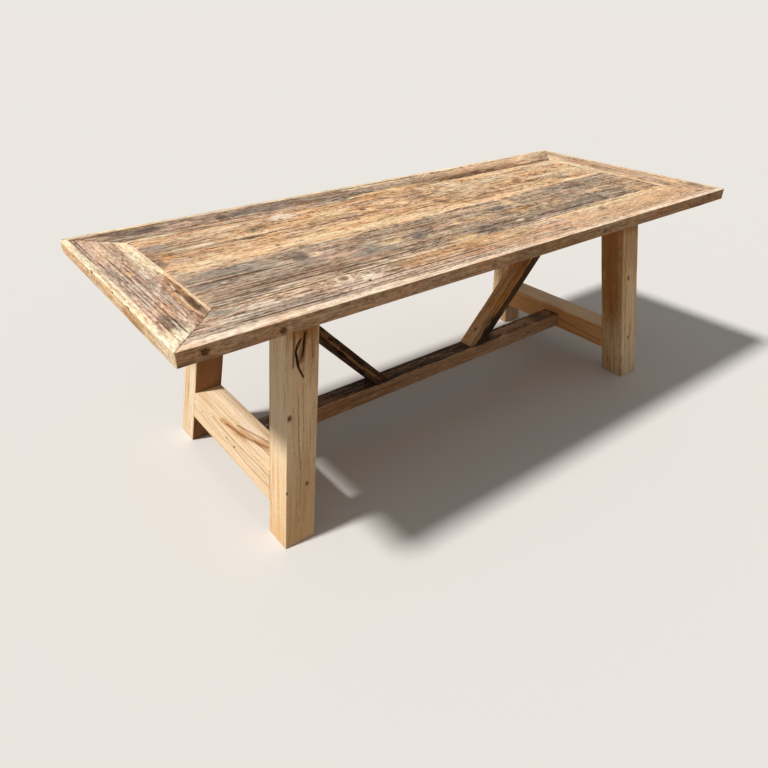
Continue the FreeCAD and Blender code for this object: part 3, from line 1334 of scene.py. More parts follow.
PINE_WOOD = Wood(
    "fresh_pine_wood",
    "fresh_pine",
    Palette("#a5764a", "#d6ab7b", "#eec89c", "#f5d9b4", "#fbe8ca"),
    figure=SAWN_FIGURE,
    spread=0.15,
    checks=0.3,
    pit="#2c1a10",
    relief=0.0004,
    seed=5,
)
STRETCHER_WOOD = Wood(
    "dark_stretcher_wood",
    "dark_stretcher",
    Palette("#15100c", "#392c23", "#5b493c", "#806957", "#b29980"),
    spread=0.13,
    stain_figure=0.2,
    pit="#0c0806",
    seed=6,
)
HONEY_BRACE_WOOD = Wood(
    "honey_brace_wood",
    "honey_brace",
    Palette("#8a5628", "#c28345", "#e8a45a", "#f4ba7b", "#fbd4a1"),
    spread=0.20,
    checks=0.3,
    stain_figure=0.3,
    pit="#1c110a",
    seed=7,
)
DARK_BRACE_WOOD = Wood(
    "dark_brace_wood",
    "dark_brace",
    Palette("#180f0a", "#2e2015", "#452f20", "#624a32", "#82664c"),
    spread=0.16,
    stain_figure=0.25,
    pit="#0c0806",
    seed=8,
)
BATTEN_WOOD = Wood(
    "batten_pine_wood",
    "batten_pine",
    Palette("#8b6238", "#b98c5c", "#d0a878", "#dfbd90", "#ecd3ad"),
    figure=SAWN_FIGURE,
    spread=0.16,
    checks=0.1,
    relief=0.0004,
    seed=9,
)
BEECH_WOOD = Wood(
    "beech_wood",
    "hardwood",
    Palette("#7d5431", "#a3784c", "#bc9263", "#cda778", "#dcbd94"),
    figure=SAWN_FIGURE,
    spread=0.2,
    checks=0.0,
    relief=0.0002,
    seed=10,
)


# ---------------------------------------------------------------- marks of this table
# Given as (along, across): (x, y) on a rail, a plank or the centre stretcher, (y, x) on an end
# board, (height, x from its left side) on a leg, (y, x from its left side) on an end stretcher
# and (distance from the foot, y) on a brace. Past the marked face, across goes on down the side:
# the outer face of a rail or end board lies 0 to 40 mm past its edge.
def mitre_dirt(half_length: float, half_width: float, where: Where) -> tuple[Streak, ...]:
    """The dirt along a board's two mitres.

    Args:
        half_length: half the top's size along the board.
        half_width: half the top's size across the board.
        where: which edge of the top the board lies on.

    Returns:
        The two lines of dirt.
    """
    width, share = 0.0022, 0.5
    inner_length = half_length - BOARD_WIDTH
    inner_width = half_width - BOARD_WIDTH
    lines = []
    for end in (-1, 1):
        points = ((end * half_length, where * half_width), (end * inner_length, where * inner_width))
        lines.append(Streak(points, width, Tint.UMBER, share))
    return tuple(lines)


def worn_and_highlit_edge(where: Where, edge: float, top: Tint, face: Tint) -> tuple[Band, ...]:
    """The pale arris, worn and partly a painted highlight, and the outer face of a board of the rim.

    Args:
        where: which edge of the top the board lies on.
        edge: distance of that edge from the table's middle.
        top: tint of the arris, pale from wear and from a painted highlight.
        face: tint of the outer face.

    Returns:
        The two bands.
    """
    arris_inside, arris_outside, arris_ragged = 0.021, 0.010, 0.007
    face_start, past_face = 0.0006, 0.100
    # the arris band is wear with a painted highlight along the edge
    arris = sorted((where * (edge - arris_inside), where * (edge + arris_outside)))
    outer = sorted((where * (edge + face_start), where * (edge + past_face)))
    return (Band(*arris, top, ragged=arris_ragged), Band(*outer, face))


PLANK_SAPWOOD = (
    Stain(-0.62, -0.006, 0.46, 0.042, Tint.GOLD, 0.75),
    Stain(-0.10, -0.012, 0.50, 0.026, Tint.GOLD, 0.80),
    Stain(-0.35, -0.006, 0.45, 0.008, Tint.STRAW, 0.45),
    Stain(0.15, -0.014, 0.22, 0.014, Tint.STRAW, 0.50),
    Stain(0.36, 0.000, 0.24, 0.022, Tint.GOLD, 0.80),
    Stain(0.86, 0.010, 0.16, 0.010, Tint.STRAW, 0.60),
)
FRONT_RAIL_MARKS = (
    Stain(0.62, -0.375, 0.55, 0.09, Tint.SAND, 0.75),
    Stain(-0.12, -0.350, 0.25, 0.075, Tint.AMBER, 0.50),
    *worn_and_highlit_edge(Side.FRONT, TOP_HALF_WIDTH, Tint.CREAM, Tint.TAN),
    Stain(-0.70, -0.476, 0.52, 0.022, Tint.SAND, 0.60),
    Stain(-0.62, -0.300, 0.36, 0.006, Tint.BISCUIT, 0.9, 0.9),
    Stain(-0.62, -0.299, 0.14, 0.006, Tint.GOLD, 0.6, 0.9),
    Stain(0.62, -0.300, 0.42, 0.009, Tint.MAPLE, 1.0, 0.7),
    Stain(0.62, -0.325, 0.42, 0.018, Tint.GOLD, 0.35),
    Stain(-0.62, -0.322, 0.10, 0.014, Tint.UMBER, 0.30),
    Stain(0.02, -0.350, 0.10, 0.050, Tint.HONEY, 0.2),
    Stain(-0.700, -0.400, 0.450, 0.040, Tint.CHALK, 0.35),
    Stain(-0.930, -0.375, 0.100, 0.035, Tint.CHALK, 0.35),
    Stain(0.820, -0.375, 0.080, 0.030, Tint.HONEY, 0.45),
    Stain(-0.955, -0.335, 0.030, 0.018, Tint.SLATE, 0.6),
    Stain(-0.860, -0.345, 0.035, 0.024, Tint.CHALK, 0.5),
    Stain(-0.535, -0.364, 0.036, 0.020, Tint.CREAM, 1.0, 0.7),
    Stain(-0.604, -0.328, 0.026, 0.022, Tint.CREAM, 0.9, 0.7),
    Stain(-0.460, -0.365, 0.035, 0.018, Tint.UMBER, 0.5),
    Stain(-0.385, -0.345, 0.050, 0.028, Tint.AMBER, 0.45),
    Stain(-0.410, -0.340, 0.060, 0.024, Tint.UMBER, 0.35),
    Stain(-0.110, -0.296, 0.080, 0.014, Tint.HONEY, 0.7),
    Stain(-0.147, -0.345, 0.045, 0.022, Tint.CHESTNUT, 0.4),
    Stain(0.065, -0.346, 0.022, 0.008, Tint.UMBER, 0.7),
    Stain(0.230, -0.350, 0.060, 0.014, Tint.ROSE, 0.7),
    Stain(0.500, -0.333, 0.028, 0.014, Tint.UMBER, 0.5),
    Stain(0.760, -0.360, 0.050, 0.020, Tint.HONEY, 0.6),
    Stain(0.890, -0.355, 0.040, 0.020, Tint.ROSE, 0.6),
    Stain(0.945, -0.310, 0.030, 0.012, Tint.HONEY, 0.7),
    Knot(-0.604, -0.326, 0.013, Tint.ASH, Tint.UMBER, 1.1),
    Stain(-0.604, -0.326, 0.0050, 0.0050, Tint.DUSK, 1.0, 0.2),
    Stain(-0.551, -0.375, 0.0045, 0.0050, Tint.SOOT, 1.0, 0.2),
    Dent(-0.551, -0.375, 0.0055, 0.0055, 0.004),
    Knot(-0.194, -0.312, 0.005, Tint.UMBER, Tint.SOOT),
    Knot(0.060, -0.408, 0.006, Tint.RUST, Tint.UMBER),
    Swirl(0.503, -0.331, 0.009, Tint.SAND, Tint.UMBER, 1.2, 0.8),
    Knot(-1.054, -0.474, 0.0085, Tint.RUST, Tint.SOOT, 1.1),
    Knot(-0.862, -0.480, 0.0085, Tint.RUST, Tint.SOOT, 1.1),
    Knot(-0.163, -0.476, 0.0080, Tint.RUST, Tint.SOOT, 1.1),
    Knot(0.358, -0.478, 0.0070, Tint.RUST, Tint.SOOT, 1.1),
    Knot(1.005, -0.463, 0.0060, Tint.RUST, Tint.SOOT, 1.1),
    Dent(0.955, -0.494, 0.035, 0.006, 0.0040),
    Stain(-0.78, -0.429, 0.36, 0.011, Tint.CREAM, 0.85, 0.9),
    Stain(0.22, -0.437, 0.26, 0.007, Tint.SAND, 0.70),
    Stain(-0.20, -0.475, 0.08, 0.030, Tint.SAND, 0.50),
    Stain(0.00, -0.475, 0.07, 0.030, Tint.UMBER, 0.35),
    Stain(0.48, -0.475, 0.16, 0.030, Tint.SAND, 0.40),
    Stain(-0.450, -0.392, 0.70, 0.034, Tint.ROSE, 0.30),
    *ribs(-0.4185, 0.0142, 5, 0.0011, -1.12, 0.20),
    *ribs(-0.4240, 0.0115, 5, 0.0007, 0.15, 1.12),
    Groove(-0.309, 0.0020, 0.0024, -0.92, -0.33),
    *mitre_dirt(TOP_HALF_LENGTH, TOP_HALF_WIDTH, Side.FRONT),
)
BACK_RAIL_MARKS = (
    Stain(0.72, 0.395, 0.40, 0.05, Tint.SAND, 0.70),
    *worn_and_highlit_edge(Side.BACK, TOP_HALF_WIDTH, Tint.BISCUIT, Tint.TAN),
    Stain(-0.985, 0.410, 0.050, 0.026, Tint.DUSK, 0.70),
    Stain(-0.905, 0.382, 0.080, 0.030, Tint.DUSK, 0.75),
    Stain(-0.880, 0.390, 0.040, 0.014, Tint.SOOT, 0.25),
    Stain(0.060, 0.390, 0.160, 0.030, Tint.SAND, 0.20),
    Stain(0.060, 0.385, 0.160, 0.030, Tint.ASH, 0.40),
    Stain(-0.740, 0.385, 0.060, 0.030, Tint.ROSE, 0.4),
    Stain(-0.628, 0.370, 0.024, 0.030, Tint.DUSK, 0.75),
    Stain(-0.560, 0.376, 0.030, 0.022, Tint.DUSK, 0.6),
    Stain(-0.440, 0.385, 0.120, 0.024, Tint.SLATE, 0.5),
    Stain(-0.300, 0.350, 0.060, 0.022, Tint.UMBER, 0.55),
    Stain(-0.600, 0.318, 0.340, 0.010, Tint.SAND, 0.6),
    Stain(-0.880, 0.303, 0.120, 0.009, Tint.BISCUIT, 0.90, 0.9),
    Stain(-0.450, 0.300, 0.300, 0.004, Tint.CHALK, 0.80, 0.9),
    Stain(0.130, 0.333, 0.120, 0.020, Tint.UMBER, 0.60),
    Stain(0.570, 0.335, 0.360, 0.026, Tint.CHESTNUT, 0.45),
    Stain(0.880, 0.335, 0.100, 0.020, Tint.GOLD, 0.50),
    Stain(0.480, 0.372, 0.260, 0.016, Tint.UMBER, 0.30),
    Stain(0.080, 0.414, 0.340, 0.012, Tint.BISCUIT, 0.60),
    Stain(-0.930, 0.425, 0.120, 0.010, Tint.UMBER, 0.60),
    Stain(0.060, 0.312, 0.180, 0.024, Tint.HONEY, 0.85),
    Stain(0.000, 0.300, 0.050, 0.012, Tint.CHESTNUT, 0.7),
    Stain(0.106, 0.322, 0.020, 0.012, Tint.RUST, 0.7),
    Stain(0.205, 0.340, 0.025, 0.020, Tint.UMBER, 0.7),
    Stain(0.560, 0.306, 0.380, 0.009, Tint.RUST, 0.80, 1.8),
    Stain(0.530, 0.344, 0.090, 0.016, Tint.CHESTNUT, 0.5),
    Stain(0.330, 0.318, 0.040, 0.014, Tint.CHESTNUT, 0.8),
    Stain(0.362, 0.312, 0.018, 0.010, Tint.SOOT, 0.60),
    Stain(0.430, 0.312, 0.036, 0.009, Tint.SOOT, 0.60),
    Stain(0.525, 0.330, 0.026, 0.012, Tint.SOOT, 0.70),
    Stain(0.600, 0.318, 0.026, 0.012, Tint.SOOT, 0.65),
    Stain(0.700, 0.320, 0.090, 0.006, Tint.SOOT, 0.50),
    Stain(0.930, 0.320, 0.035, 0.016, Tint.UMBER, 0.95),
    Stain(0.890, 0.400, 0.050, 0.024, Tint.BISCUIT, 0.6),
    Streak(((0.120, 0.301), (0.160, 0.303), (0.210, 0.300)), 0.003, Tint.SOOT, 0.7),
    Streak(((0.300, 0.304), (0.345, 0.309), (0.400, 0.303), (0.440, 0.305)), 0.005, Tint.SOOT, 0.8),
    Streak(((0.455, 0.313), (0.500, 0.319), (0.545, 0.314)), 0.005, Tint.SOOT, 0.7),
    Streak(((0.520, 0.302), (0.580, 0.308), (0.640, 0.302), (0.700, 0.304)), 0.004, Tint.SOOT, 0.7),
    Streak(((0.720, 0.306), (0.790, 0.312), (0.860, 0.305)), 0.003, Tint.SOOT, 0.6),
    *ticks(5, 20, (0.05, 0.95), (0.34, 0.43), Tint.UMBER, 0.7),
    *mitre_dirt(TOP_HALF_LENGTH, TOP_HALF_WIDTH, Side.BACK),
)
LEFT_END_MARKS = (
    Stain(0.0, -1.045, 0.60, 0.10, Tint.ROSE, 0.50),
    Stain(-0.05, -1.070, 0.38, 0.040, Tint.CHALK, 0.28),
    Stain(0.240, -1.060, 0.140, 0.040, Tint.BISCUIT, 0.35),
    *worn_and_highlit_edge(End.LEFT, TOP_HALF_LENGTH, Tint.STRAW, Tint.GOLD),
    Stain(0.030, -1.117, 0.480, 0.009, Tint.STRAW, 0.50),
    Stain(-0.400, -1.145, 0.070, 0.030, Tint.STRAW, 0.80),
    Stain(-0.200, -1.148, 0.070, 0.020, Tint.TOFFEE, 0.80),
    Stain(0.040, -1.108, 0.140, 0.005, Tint.SAND, 0.70),
    Stain(0.240, -1.084, 0.130, 0.016, Tint.ROSE, 0.55),
    Stain(-0.240, -1.048, 0.050, 0.020, Tint.SAND, 0.60),
    Stain(0.100, -1.012, 0.100, 0.013, Tint.GOLD, 0.70),
    Stain(0.185, -0.984, 0.190, 0.018, Tint.STRAW, 1.0, 0.7),
    Stain(0.365, -1.008, 0.040, 0.020, Tint.STRAW, 1.0, 0.7),
    Stain(0.392, -1.035, 0.022, 0.020, Tint.STRAW, 0.9, 0.9),
    Stain(0.020, -0.970, 0.060, 0.007, Tint.STRAW, 0.9),
    Stain(-0.160, -0.968, 0.170, 0.005, Tint.GOLD, 1.0, 0.8),
    Stain(-0.160, -0.984, 0.145, 0.011, Tint.CHESTNUT, 0.90),
    Stain(-0.235, -0.986, 0.055, 0.010, Tint.SOOT, 0.65),
    Stain(-0.130, -0.990, 0.050, 0.005, Tint.SOOT, 0.50),
    Stain(-0.200, -1.004, 0.090, 0.007, Tint.AMBER, 0.7),
    Stain(-0.100, -1.020, 0.200, 0.014, Tint.SLATE, 0.35),
    Stain(0.120, -1.010, 0.120, 0.012, Tint.SLATE, 0.35),
    Stain(0.015, -1.015, 0.030, 0.010, Tint.CREAM, 0.8),
    Stain(0.040, -1.045, 0.022, 0.010, Tint.HONEY, 0.7),
    Stain(0.060, -1.080, 0.070, 0.014, Tint.SLATE, 0.5),
    Stain(-0.310, -1.070, 0.045, 0.018, Tint.DUSK, 0.6),
    Stain(-0.380, -1.085, 0.034, 0.040, Tint.STRAW, 0.85),
    Stain(-0.320, -1.005, 0.022, 0.006, Tint.RUST, 0.8),
    *ticks(4, 24, (-0.36, 0.40), (-1.10, -0.98), Tint.CREAM, 0.75),
    *ribs(-1.0985, 0.0098, 5, 0.0012, -0.40, 0.14),
    *ribs(-1.0985, 0.0098, 5, 0.0007, 0.10, 0.46),
    *ribs(-1.0440, 0.0120, 3, 0.0008, -0.30, 0.30),
    Dent(-0.165, -1.124, 0.012, 0.005, 0.0030),
    Dent(-0.050, -1.124, 0.010, 0.005, 0.0030),
    Dent(0.130, -1.124, 0.014, 0.005, 0.0034),
    *mitre_dirt(TOP_HALF_WIDTH, TOP_HALF_LENGTH, End.LEFT),
)
RIGHT_END_MARKS = (
    Stain(0.0, 1.045, 0.60, 0.10, Tint.SAND, 0.5),
    *worn_and_highlit_edge(End.RIGHT, TOP_HALF_LENGTH, Tint.BISCUIT, Tint.SAND),
    Stain(0.200, 0.976, 0.190, 0.026, Tint.BISCUIT, 1.0, 0.8),
    Stain(-0.150, 0.974, 0.190, 0.012, Tint.GOLD, 0.95, 0.8),
    Stain(0.330, 1.000, 0.080, 0.060, Tint.BISCUIT, 0.8),
    Stain(0.200, 1.045, 0.070, 0.026, Tint.ROSE, 0.95),
    Stain(0.195, 1.040, 0.050, 0.022, Tint.CHESTNUT, 0.50),
    Stain(0.150, 1.085, 0.020, 0.016, Tint.AMBER, 0.8),
    Stain(0.075, 1.085, 0.045, 0.024, Tint.ROSE, 0.9),
    Stain(0.050, 1.015, 0.060, 0.014, Tint.MOSS, 0.4),
    Stain(-0.155, 1.000, 0.012, 0.014, Tint.UMBER, 0.7),
    Stain(-0.165, 1.045, 0.030, 0.018, Tint.ROSE, 0.6),
    Stain(-0.235, 1.070, 0.040, 0.024, Tint.HONEY, 0.6),
    Stain(-0.278, 1.000, 0.010, 0.020, Tint.UMBER, 0.8),
    Stain(-0.345, 1.085, 0.034, 0.030, Tint.UMBER, 0.6),
    *ribs(1.035, 0.012, 5, 0.0007, -0.40, 0.40),
    *mitre_dirt(TOP_HALF_WIDTH, TOP_HALF_LENGTH, End.RIGHT),
)
FRONT_PLANK_MARKS = (
    *PLANK_SAPWOOD,
    Stain(-0.72, -0.170, 0.40, 0.120, Tint.ASH, 0.45),
    Stain(0.88, -0.170, 0.16, 0.120, Tint.HONEY, 0.25),
    Stain(0.35, -0.190, 0.22, 0.030, Tint.HONEY, 0.25),
    Stain(0.72, -0.284, 0.30, 0.012, Tint.GOLD, 0.70),
    Stain(-0.84, -0.282, 0.20, 0.012, Tint.CHALK, 0.60),
    Stain(-0.10, -0.284, 0.60, 0.008, Tint.CHALK, 0.35),
    Stain(-0.05, -0.085, 0.40, 0.034, Tint.INK, 0.18),
    Stain(0.22, -0.245, 0.44, 0.034, Tint.INK, 0.34),
    Stain(0.52, -0.225, 0.13, 0.044, Tint.INK, 0.25),
    Stain(0.40, -0.120, 0.10, 0.030, Tint.INK, 0.20),
    Stain(-0.110, -0.268, 0.070, 0.016, Tint.HONEY, 0.80),
    Streak(((-0.962, -0.289), (-0.920, -0.289)), 0.002, Tint.SOOT, 0.8),
    Stain(-0.55, -0.230, 0.36, 0.030, Tint.UMBER, 0.35),
    Stain(-0.820, -0.085, 0.090, 0.022, Tint.SLATE, 0.6),
    Stain(-0.840, -0.140, 0.120, 0.006, Tint.UMBER, 0.85),
    Stain(-0.900, -0.155, 0.060, 0.016, Tint.SLATE, 0.55),
    Stain(-0.565, -0.122, 0.024, 0.018, Tint.BISCUIT, 0.5),
    Stain(-0.500, -0.172, 0.060, 0.018, Tint.ROSE, 0.7),
    Stain(-0.400, -0.200, 0.090, 0.030, Tint.SLATE, 0.6),
    Stain(-0.820, -0.262, 0.045, 0.014, Tint.SLATE, 0.7),
    Stain(-0.580, -0.250, 0.050, 0.014, Tint.UMBER, 0.45),
    Stain(-0.315, -0.168, 0.048, 0.020, Tint.GOLD, 0.75),
    Stain(-0.218, -0.185, 0.028, 0.030, Tint.INK, 0.7),
    Stain(-0.110, -0.150, 0.050, 0.014, Tint.ROSE, 0.5),
    Stain(-0.035, -0.150, 0.022, 0.010, Tint.GOLD, 0.6),
    Stain(-0.120, -0.108, 0.040, 0.012, Tint.UMBER, 0.6),
    Stain(0.100, -0.158, 0.100, 0.022, Tint.SAND, 0.65),
    Stain(0.200, -0.110, 0.050, 0.020, Tint.INK, 0.5),
    Stain(0.290, -0.080, 0.026, 0.050, Tint.GOLD, 0.65),
    Stain(0.300, -0.150, 0.026, 0.020, Tint.CHESTNUT, 0.5),
    Stain(0.240, -0.165, 0.040, 0.016, Tint.HONEY, 0.5),
    Stain(0.165, -0.250, 0.018, 0.010, Tint.CHALK, 0.7),
    Stain(0.630, -0.240, 0.022, 0.024, Tint.SOOT, 0.4),
    Stain(0.300, -0.268, 0.050, 0.010, Tint.ROSE, 0.5),
    Stain(0.580, -0.040, 0.050, 0.022, Tint.INK, 0.4),
    Stain(0.600, -0.110, 0.034, 0.034, Tint.ROSE, 0.6),
    Stain(0.598, -0.125, 0.014, 0.020, Tint.UMBER, 0.5),
    Stain(0.710, -0.050, 0.035, 0.034, Tint.UMBER, 0.6),
    Stain(0.850, -0.130, 0.090, 0.012, Tint.UMBER, 0.7),
    Stain(0.770, -0.205, 0.045, 0.020, Tint.INK, 0.7),
    Stain(0.670, -0.160, 0.060, 0.016, Tint.SAND, 0.7),
    Stain(0.870, -0.240, 0.070, 0.030, Tint.SAND, 0.45),
    Stain(-0.612, -0.108, 0.030, 0.044, Tint.INK, 0.75),
    Stain(-0.650, -0.104, 0.018, 0.012, Tint.UMBER, 0.8, 0.8),
    Swirl(-0.612, -0.110, 0.015, Tint.INK, Tint.SOOT, 1.4, 0.5),
    *ribs(-0.281, 0.0172, 5, 0.0014, -0.98, -0.45),
    *ribs(-0.281, 0.0172, 4, 0.0009, -0.45, 0.60),
    Groove(-0.140, 0.0016, 0.003, -0.98, -0.60),
)
BACK_PLANK_MARKS = (
    *PLANK_SAPWOOD,
    Stain(-0.800, 0.150, 0.170, 0.110, Tint.SAND, 0.30),
    Stain(-0.620, 0.276, 0.400, 0.020, Tint.SAND, 0.35),
    Stain(0.860, 0.130, 0.140, 0.130, Tint.GOLD, 0.35),
    Stain(0.380, 0.040, 0.120, 0.026, Tint.TAN, 0.35),
    Stain(0.560, 0.282, 0.420, 0.020, Tint.GOLD, 0.80),
    Stain(-0.955, 0.090, 0.018, 0.080, Tint.DUSK, 0.45),
    Stain(-0.925, 0.195, 0.040, 0.040, Tint.SLATE, 0.45),
    Stain(-0.915, 0.115, 0.014, 0.028, Tint.AMBER, 0.8),
    Stain(-0.895, 0.058, 0.025, 0.022, Tint.ROSE, 0.5),
    Stain(-0.760, 0.170, 0.140, 0.005, Tint.UMBER, 0.5),
    Stain(-0.750, 0.149, 0.180, 0.006, Tint.BISCUIT, 0.65),
    Stain(-0.760, 0.128, 0.140, 0.006, Tint.UMBER, 0.5),
    Stain(-0.458, 0.252, 0.042, 0.034, Tint.CREAM, 1.0, 0.7),
    Streak(((-0.62, 0.284), (-0.49, 0.284)), 0.0035, Tint.CHESTNUT, 0.8),
    Stain(-0.310, 0.205, 0.110, 0.036, Tint.GOLD, 0.45),
    Stain(-0.400, 0.150, 0.080, 0.030, Tint.AMBER, 0.35),
    Stain(0.610, 0.215, 0.080, 0.030, Tint.AMBER, 0.25),
    Stain(0.620, 0.050, 0.080, 0.024, Tint.HONEY, 0.50),
    Stain(0.470, 0.205, 0.200, 0.040, Tint.BISCUIT, 0.45),
    Stain(-0.190, 0.100, 0.060, 0.034, Tint.TOFFEE, 0.5),
    Stain(-0.010, 0.155, 0.060, 0.030, Tint.GOLD, 0.7),
    Stain(-0.575, 0.190, 0.045, 0.030, Tint.UMBER, 0.5),
    Stain(-0.520, 0.175, 0.035, 0.018, Tint.AMBER, 0.6),
    Stain(-0.540, 0.150, 0.070, 0.008, Tint.CREAM, 0.6),
    Stain(-0.430, 0.050, 0.100, 0.018, Tint.HONEY, 0.5),
    Stain(-0.240, 0.060, 0.160, 0.040, Tint.HONEY, 0.45),
    Stain(-0.165, 0.150, 0.024, 0.020, Tint.GOLD, 0.9),
    Stain(-0.118, 0.138, 0.030, 0.010, Tint.UMBER, 0.6),
    Stain(-0.060, 0.200, 0.060, 0.024, Tint.GOLD, 0.6),
    Stain(-0.135, 0.088, 0.040, 0.016, Tint.ROSE, 0.6),
    Stain(0.035, 0.153, 0.030, 0.012, Tint.UMBER, 0.6),
    Stain(-0.040, 0.272, 0.070, 0.022, Tint.AMBER, 0.85),
    Stain(0.030, 0.262, 0.050, 0.026, Tint.AMBER, 0.7),
    Stain(0.178, 0.250, 0.036, 0.026, Tint.GOLD, 0.85),
    Stain(0.090, 0.160, 0.030, 0.070, Tint.UMBER, 0.45),
    Stain(0.106, 0.078, 0.026, 0.024, Tint.UMBER, 0.6),
    Stain(0.270, 0.160, 0.140, 0.050, Tint.BISCUIT, 0.45),
    Stain(0.218, 0.135, 0.026, 0.014, Tint.UMBER, 0.6),
    Stain(0.180, 0.190, 0.024, 0.018, Tint.INK, 0.5),
    Stain(0.312, 0.062, 0.030, 0.014, Tint.UMBER, 0.5),
    Stain(0.247, 0.030, 0.040, 0.012, Tint.UMBER, 0.5),
    Stain(0.388, 0.102, 0.018, 0.010, Tint.CHESTNUT, 1.0, 0.8),
    Stain(0.565, 0.130, 0.024, 0.013, Tint.UMBER, 1.0, 0.9),
    Stain(0.602, 0.096, 0.020, 0.012, Tint.CHESTNUT, 1.0, 0.8),
    Stain(0.530, 0.190, 0.050, 0.010, Tint.UMBER, 0.4),
    Stain(0.690, 0.147, 0.030, 0.012, Tint.UMBER, 0.5),
    Stain(0.866, 0.182, 0.022, 0.012, Tint.CHESTNUT, 1.0, 0.8),
    Stain(0.748, 0.064, 0.040, 0.018, Tint.MOSS, 0.5),
    Stain(0.890, 0.058, 0.040, 0.012, Tint.RUST, 0.5),
    Stain(0.900, 0.262, 0.055, 0.026, Tint.STRAW, 0.5),
    Stain(0.890, 0.110, 0.050, 0.060, Tint.GOLD, 0.5),
    Swirl(-0.600, 0.182, 0.021, Tint.SAND, Tint.UMBER, 0.8, 1.0),
    Stain(-0.602, 0.186, 0.0100, 0.0090, Tint.DUSK, 0.9, 0.4),
    Stain(-0.475, 0.236, 0.0060, 0.0060, Tint.SOOT, 1.0, 0.2),
    Dent(-0.475, 0.236, 0.0070, 0.0060, 0.004),
    Knot(-0.612, 0.012, 0.007, Tint.UMBER, Tint.UMBER),
    Knot(-0.187, 0.166, 0.012, Tint.CHESTNUT, Tint.UMBER, 1.0),
    *ribs(0.105, 0.013, 4, 0.0010, -0.95, -0.20),
    *ticks(1, 44, (0.15, 0.93), (0.03, 0.285), Tint.RUST, 0.75),
    *ticks(2, 26, (0.15, 0.93), (0.03, 0.285), Tint.STRAW, 0.75),
    *ticks(3, 26, (-0.95, 0.15), (0.03, 0.285), Tint.CHESTNUT, 0.7),
)
STRETCHER_MARKS = (
    Band(-0.110, -0.0385, Tint.TAN, ragged=0.001),
    Stain(-0.55, -0.068, 0.40, 0.040, Tint.CHESTNUT, 0.5),
    Stain(0.53, 0.000, 0.24, 0.036, Tint.TAN, 0.75),
    Streak(((-0.66, -0.002), (-0.30, -0.006), (0.10, -0.001)), 0.003, Tint.UMBER, 0.8),
    Streak(((-0.05, 0.016), (0.20, 0.012), (0.34, 0.016)), 0.003, Tint.UMBER, 0.7),
    Streak(((-0.72, -0.0365), (0.72, -0.0365)), 0.003, Tint.SAND, 0.6),
    Streak(((-0.40, -0.060), (0.05, -0.066)), 0.003, Tint.UMBER, 0.7),
    Streak(((0.15, -0.072), (0.62, -0.076)), 0.003, Tint.UMBER, 0.7),
    Streak(((0.40, -0.055), (0.66, -0.058)), 0.002, Tint.SOOT, 0.5),
    # painted shade: a dark patch round the stretcher's right end, where it meets the end stretcher
    Stain(0.680, 0.0, 0.050, 0.050, Tint.UMBER, 0.6),
    Stain(0.655, 0.010, 0.045, 0.045, Tint.SOOT, 0.65),
    Stain(0.470, 0.006, 0.170, 0.022, Tint.ASH, 0.35),
    Stain(-0.53, 0.000, 0.10, 0.030, Tint.UMBER, 0.65),
    Stain(-0.20, 0.000, 0.05, 0.020, Tint.UMBER, 0.40),
    Stain(0.30, 0.000, 0.07, 0.044, Tint.SOOT, 0.95),
    Stain(0.45, -0.066, 0.22, 0.030, Tint.SAND, 0.30),
    Knot(0.560, -0.070, 0.005, Tint.SOOT, Tint.UMBER),
)
LEFT_BRACE_MARKS = (
    Streak(((0.05, -0.058), (0.20, -0.064), (0.42, -0.056)), 0.007, Tint.CHESTNUT, 0.5),
    Stain(0.36, -0.020, 0.10, 0.020, Tint.UMBER, 0.6),
    Stain(0.06, 0.000, 0.10, 0.030, Tint.UMBER, 0.5),
    Dent(0.28, -0.070, 0.030, 0.008, 0.0030),
    Dent(0.15, -0.080, 0.020, 0.006, 0.0024),
    Crack(((0.05, 0.010), (0.20, 0.014), (0.33, 0.008)), 0.0018, 0.0016),
)
RIGHT_BRACE_MARKS = (
    Stain(0.06, 0.000, 0.15, 0.045, Tint.HONEY, 0.80),
    Stain(0.30, 0.010, 0.14, 0.028, Tint.HONEY, 0.5),
    Stain(0.47, -0.010, 0.10, 0.030, Tint.CARAMEL, 0.75),
    Band(-0.100, -0.0500, Tint.UMBER, 0.95, 0.004),
    Band(-0.100, -0.0500, Tint.SOOT, 0.30, 0.004),
    Stain(0.08, -0.068, 0.14, 0.040, Tint.SOOT, 1.0),
    Stain(0.34, -0.062, 0.12, 0.016, Tint.SOOT, 0.60),
    Streak(((0.10, -0.014), (0.38, -0.020)), 0.003, Tint.CARAMEL, 0.7),
    Streak(((0.12, 0.018), (0.45, 0.012)), 0.0025, Tint.CHESTNUT, 0.6),
    Knot(0.075, 0.004, 0.006, Tint.CHESTNUT, Tint.UMBER, 1.2),
)
